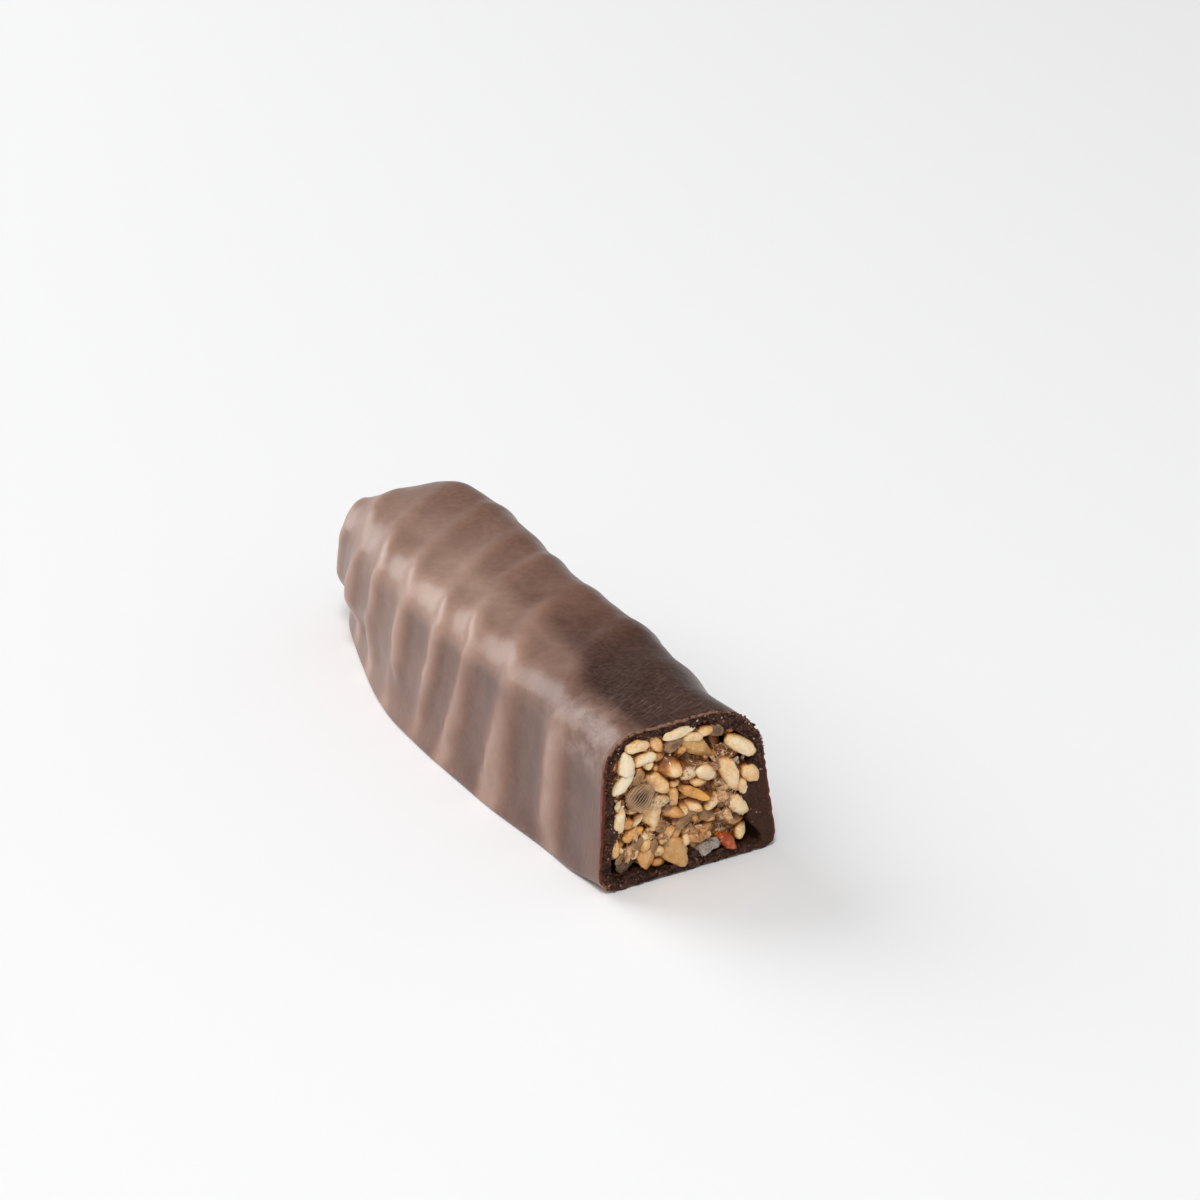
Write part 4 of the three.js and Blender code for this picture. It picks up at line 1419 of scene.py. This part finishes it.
def hullForm(name, sides, rings, dome, ragged, crumple=0.05):    # a thin bowed shell with an uneven edge
    draw = random.Random(name)
    outline = [1 + draw.uniform(-ragged, ragged) for _ in range(sides)]
    wall = 0.05
    places, rims = [], []
    for way in (-1, 1):            # its front, then its back
        for ring in range(1, rings + (way < 0)):
            arm = ring / rings
            for side in range(sides):
                turn = 2 * math.pi * side / sides
                out = arm * mix(1, outline[side], arm)
                bow = -dome * (1 - arm * arm) + crumple * math.sin(3 * turn + 5 * arm) * arm
                wide = 1 - 0.2 * out * math.cos(turn)    # narrower at one end, as a seed is
                places.append(Vector((out * math.cos(turn), bow + wall * way * (1 - arm),
                                      out * math.sin(turn) * wide)))
                rims.append(arm)
    middles = len(places)
    places += [Vector((0, -dome - wall, 0)), Vector((0, -dome + wall, 0))]
    rims += [0, 0]
    edge, back = (rings - 1) * sides, rings * sides
    backEdge = back + (rings - 2) * sides
    faces = ringFaces(rings, sides, 0, middles)
    for face in ringFaces(rings - 1, sides, back, middles + 1, turned=True):
        faces.append((*face[1:], face[0]))    # split along its other diagonal
    for side in range(sides):
        after = (side + 1) % sides
        faces.append((backEdge + after, edge + after, edge + side, backEdge + side))
    return meshObject(name, [place * 0.5 for place in places], faces, {
        "rim": rims, "stripe": [place.z / math.sqrt(max(0.12, 1 - place.x ** 2)) for place in places]}, True)


def hullMaterial():
    material, tree, place = newMaterial("glassyHull", Roughness=0.2, IOR=1.45, Specular_IOR_Level=0.3)
    rim, shade, stripe, striped = meshFields(tree, "rim shade stripe frost")
    cloud = noiseField(tree, 0.5, place, 3.0)
    lines = (stripe * 34 + cloud * 3.4).reckon("SINE").ease(-0.5, 0.9) * striped
    # painted highlight along the thin edges
    edge = rim.ease(0.9, 1.0)
    base = paint(
        mixColour((shade + (0.45 - rim) * 0.6).bounded(), (0.74, 0.40, 0.165), (0.055, 0.026, 0.014)),
        (rim.ease(0.25, 0.95) * cloud.ease(0.3, 0.6) * (1.5 - shade), (0.60, 0.36, 0.20)),
        (lines * 0.36, (0.74, 0.50, 0.31)),
        (edge * 0.9, (0.92, 0.72, 0.48)),
    )
    return linkShader(material, (lines * 0.5 + cloud, 0.04, 1.0), Base_Color=base,
                      Alpha=(0.1 + shade * 0.85 + edge * 0.6 + lines * 0.12).bounded())


tornTones = [(0.0, (0.80, 0.50, 0.26)), (0.35, (0.54, 0.28, 0.125)), (0.7, (0.27, 0.115, 0.044)),
             (1.0, (0.10, 0.038, 0.015))]


def tornMaterial():
    material, tree, place = newMaterial("tornHull", Roughness=0.13, IOR=1.45, Specular_IOR_Level=0.5)
    rim, shade, sunk = meshFields(tree, "rim shade sunk")
    cloud = noiseField(tree, 0.45, place, 3.0)
    fine = noiseField(tree, 0.16, place, 3.0)
    # painted shade: flakes darken where they lie deep between the seeds
    share = shade * 0.7 + (cloud - 0.5) * 1.1 + (fine - 0.5) * 1.3 + 0.16 + sunk.ease(0.2, 1.4) * 0.6
    # painted highlight along the thin edges
    base = paint(addRamp(share, tornTones), (rim.ease(0.86, 1.0) * 0.9, (0.94, 0.74, 0.49)))
    return linkShader(material, (cloud + fine * 0.7, 0.09, 1.0), Base_Color=base)


hullFinish = hullMaterial()
tornFinish = tornMaterial()
hulls = laySeeds("glassyHulls", hullForm("hullForm", 28, 7, 0.42, 0.035), hullRows(glassyHulls),
                 seedNodes, hullFinish, 0.16)
finishPiece(hulls)

# Where the hulls are torn to shreds: across, up, how far round there
tornAt = [(-5.6, 3.0, 1.7), (-4.6, 2.2, 1.2), (-2.6, 4.2, 1.7), (0.2, 4.4, 1.6), (-2.9, 7.5, 1.1), (3.4, 6.6, 1.2),
          (4.6, 4.2, 1.3), (-0.7, 12.2, 1.0), (-5.3, 10.4, 0.8), (2.0, 2.6, 1.0), (2.6, 10.2, 0.9)]

tornRule = dict(count=8, length=(0.8, 1.8), slender=(0.35, 0.8), seed=8, proud=0.05)
bitRule = dict(count=3, length=(0.4, 1.05), slender=(0.5, 0.9), seed=14, proud=-0.15)


def tornRows(spec):
    draw = random.Random(spec["seed"])
    rows = []
    for px, pz, reach in tornAt:
        for _ in range(round(spec["count"] * reach ** 1.3 * 0.6)):
            x, z = px + draw.gauss(0, reach * 0.5), pz + draw.gauss(0, reach * 0.5)
            if not (-7.2 < x < 6.2 and 1.95 < z < 13.5) or nearBroken(x, z, 1.55):
                continue
            at = np.array([[(faceMiddle + x) * mm, 0, z * mm]])
            deep = -sampleGrid(seedHeight, at)[0] + draw.uniform(-0.35, 0.5) - spec["proud"]
            length = draw.uniform(*spec["length"])
            rows.append(dict(place=(x, max(deep, 0.1), z), size=(length, length * draw.uniform(*spec["slender"])),
                             thin=1.2, frost=0, amber=0, shade=draw.random() ** 1.5 * 0.8, tint=draw.random(),
                             turn=seedTurn(draw.uniform(0, 360), draw.uniform(-50, 50), draw.uniform(-60, 60))))
    return rows


torn = tornRows(tornRule)
for count, name in enumerate(("curled", "split", "folded")):
    form = hullForm(name + "Form", 18, 6, 0.45 + 0.2 * count, 0.2, 0.1)
    flakes = laySeeds(name + "Hulls", form, torn[count::3], seedNodes, tornFinish, 0.22)
    markSunk(flakes, seedTops)
    finishPiece(flakes)

bits = tornRows(bitRule)
for row in bits:
    row["frost"] = 0.2
    row["shade"] = 0.35 + row["shade"] * 0.5
for count, name in enumerate(("chipped", "crushed")):
    form = chipForm(name + "Form", 9, 7, 0.32, True)
    piece = laySeeds(name + "Seeds", form, bits[count::2], seedNodes, seedFinish, 0.2)
    markSunk(piece, seedTops)
    finishPiece(piece)

shardRule = {
    "Least Size": 0.1 * mm,
    "Most Size": 0.75 * mm,
    "Density": 7 / mm ** 2,
    "Seed": 21,
}
shardBed = meshObject("shardBed", syrupFront[0], syrupFront[1], {"share": np.ones(len(syrupFront[0]))})
sliver = chipForm("sliverChip", 5, 4, 0.4)
for vertex in sliver.data.vertices:
    vertex.co.x *= 0.2
    vertex.co.y *= 0.35
shards = scatterCrumbs("seedSlivers", shardBed, sliver, crumbMaterial("hullSliver", [
    (0.0, (0.16, 0.06, 0.03)), (0.35, (0.45, 0.20, 0.07)), (0.7, (0.80, 0.50, 0.25)), (0.97, (0.94, 0.78, 0.58))]),
    shardRule)
finishPiece(shards)


threadRule = dict(count=30, girth=0.017, sides=5, steps=9, gap=0.35, seed=6)    # threads tried at each place, mm


def pullThreads(spec, tree):       # strings of syrup that stretch from seed to seed
    draw = random.Random(spec["seed"])
    ahead = Vector((0, 1, 0))
    places, faces = [], []
    for px, pz, reach in tornAt:
        for _ in range(spec["count"]):
            turn = draw.uniform(0, 2 * math.pi)
            middle = Vector((px + draw.gauss(0, reach * 0.6), 0, pz + draw.gauss(0, reach * 0.6)))
            span = Vector((math.cos(turn), 0, math.sin(turn))) * draw.uniform(0.3, 0.65)
            ends = []
            for way in (-1, 1):
                at = middle + span * way
                start = Vector((faceMiddle + at.x, cutPlane - 3, at.z)) * mm
                ends.append(tree.ray_cast(start, ahead)[0])
            if ends[0] is None or ends[1] is None or abs(ends[0].y - ends[1].y) > 0.8 * mm:
                continue
            under = tree.ray_cast(Vector((faceMiddle + middle.x, cutPlane - 3, middle.z)) * mm, ahead)[0]
            if under is None or under.y < (ends[0].y + ends[1].y) / 2 + spec["gap"] * mm:
                continue           # nothing to bridge here
            sag = Vector((0, draw.uniform(-0.12, 0.05), -draw.uniform(0, 0.2))) * mm
            girth = spec["girth"] * draw.uniform(0.7, 1.5) * mm
            first = len(places)
            for step in range(spec["steps"] + 1):
                share = step / spec["steps"]
                at = ends[0].lerp(ends[1], share) + sag * 4 * share * (1 - share)
                thick = girth * (1 + 2.2 * abs(2 * share - 1) ** 3)
                across = (ends[1] - ends[0]).normalized().cross(ahead)
                for side in range(spec["sides"]):
                    angle = 2 * math.pi * side / spec["sides"]
                    places.append(at + across * math.cos(angle) * thick + ahead * math.sin(angle) * thick)
            sides = spec["sides"]
            faces += ringFaces(spec["steps"] + 1, sides, first)
            faces.append(range(first, first + sides))
            faces.append(range(len(places) - 1, len(places) - 1 - sides, -1))
    return meshObject("syrupThreads", places, faces, smooth=True)


def threadMaterial():
    material, tree, place = newMaterial("syrupThread", Roughness=0.15, IOR=1.46, Specular_IOR_Level=0.3)
    base = mixColour(noiseField(tree, 0.6, place), (0.78, 0.50, 0.27), (0.95, 0.78, 0.56))
    return linkShader(material, Base_Color=base, Alpha=0.4 + noiseField(tree, 0.4, place) * 0.5)


threads = pullThreads(threadRule, feelTree([*seedPieces, syrup]))
threads.data.materials.append(threadMaterial())
finishPiece(threads)


def crystalMaterial():
    material, tree, place = newMaterial("sugarCrystal", Roughness=0.12, IOR=1.52, Coat_Weight=0.5)
    shade, = meshFields(tree, "shade")
    cloud = noiseField(tree, 0.35, place, 4.0)
    glint = take(tree, "ShaderNodeTexVoronoi", {"Vector": place, "Scale": 1 / (0.13 * mm)}, "Color")
    base = mixColour((shade * 0.7 + cloud * 0.5 + glint * 0.4 - 0.35).bounded(), (0.80, 0.69, 0.59),
                     (0.17, 0.115, 0.085))
    return linkShader(material, (cloud + noiseField(tree, 0.12, place, 3.0) * 0.4, 0.4, 1.0), Base_Color=base,
                      Alpha=0.4 + cloud * 0.5)


crystals = laySeeds("sugarCrystals", chipForm("crystalForm", 12, 9, 0.28), hullRows(sugarCrystals), seedNodes,
                    crystalMaterial(), 0.22, 0.1)
finishPiece(crystals)


# Floor, light and the end

stageLook = dict(
    floorHalf=3.0,
    floorTone=(0.94, 0.94, 0.946),
    skyStrength=0.435,
    dimSide=(0.46, 0.78, 0.42),    # the sky is dim towards here, which the bar's top mirrors
    dimStrength=0.07,
)


def addStage(spec):
    half = spec["floorHalf"]
    floor = meshObject("floor", [(-half, -half, 0), (half, -half, 0), (half, half, 0), (-half, half, 0)],
                       [(0, 1, 2, 3)])
    floor.data.materials.append(newMaterial("floorPaper", Roughness=0.9, Specular_IOR_Level=0.2,
                                            Base_Color=(*spec["floorTone"], 1))[0])
    world = bpy.data.worlds.new("studio")
    world.use_nodes = True
    tree = world.node_tree
    way = take(tree, "ShaderNodeTexCoord", output="Generated")
    towards = take(tree, "ShaderNodeVectorMath", {0: way, 1: Vector(spec["dimSide"]).normalized()}, "Value",
                   operation="DOT_PRODUCT")
    dim = towards.ease(0.72, 0.95) * way.xyz()[2].ease(0.1, 0.3)
    strength = spec["skyStrength"] - dim * (spec["skyStrength"] - spec["dimStrength"])
    plug(tree, strength, tree.nodes["Background"].inputs["Strength"])
    tree.nodes["Background"].inputs["Color"].default_value = (1, 1, 1, 1)
    bpy.context.scene.world = world


def addLamp(name, place, aim, size, power):
    data = bpy.data.lights.new(name, "AREA")
    data.shape = "DISK"
    data.size = size
    data.energy = power
    lamp = bpy.data.objects.new(name, data)
    lamp.location = place
    lamp.rotation_euler = (Vector(aim) - Vector(place)).to_track_quat("-Z", "Y").to_euler()
    bpy.context.scene.collection.objects.link(lamp)


addStage(stageLook)
addLamp("windowLight", (-0.31, 0.7, 0.42), (0, 0, 0), 0.75, 4.6)
addLamp("faceLight", (-0.26, -0.38, 0.72), (0, -0.03, 0), 0.18, 3.1)
bpy.context.scene.view_settings.view_transform = "Standard"
print("stage and light set")
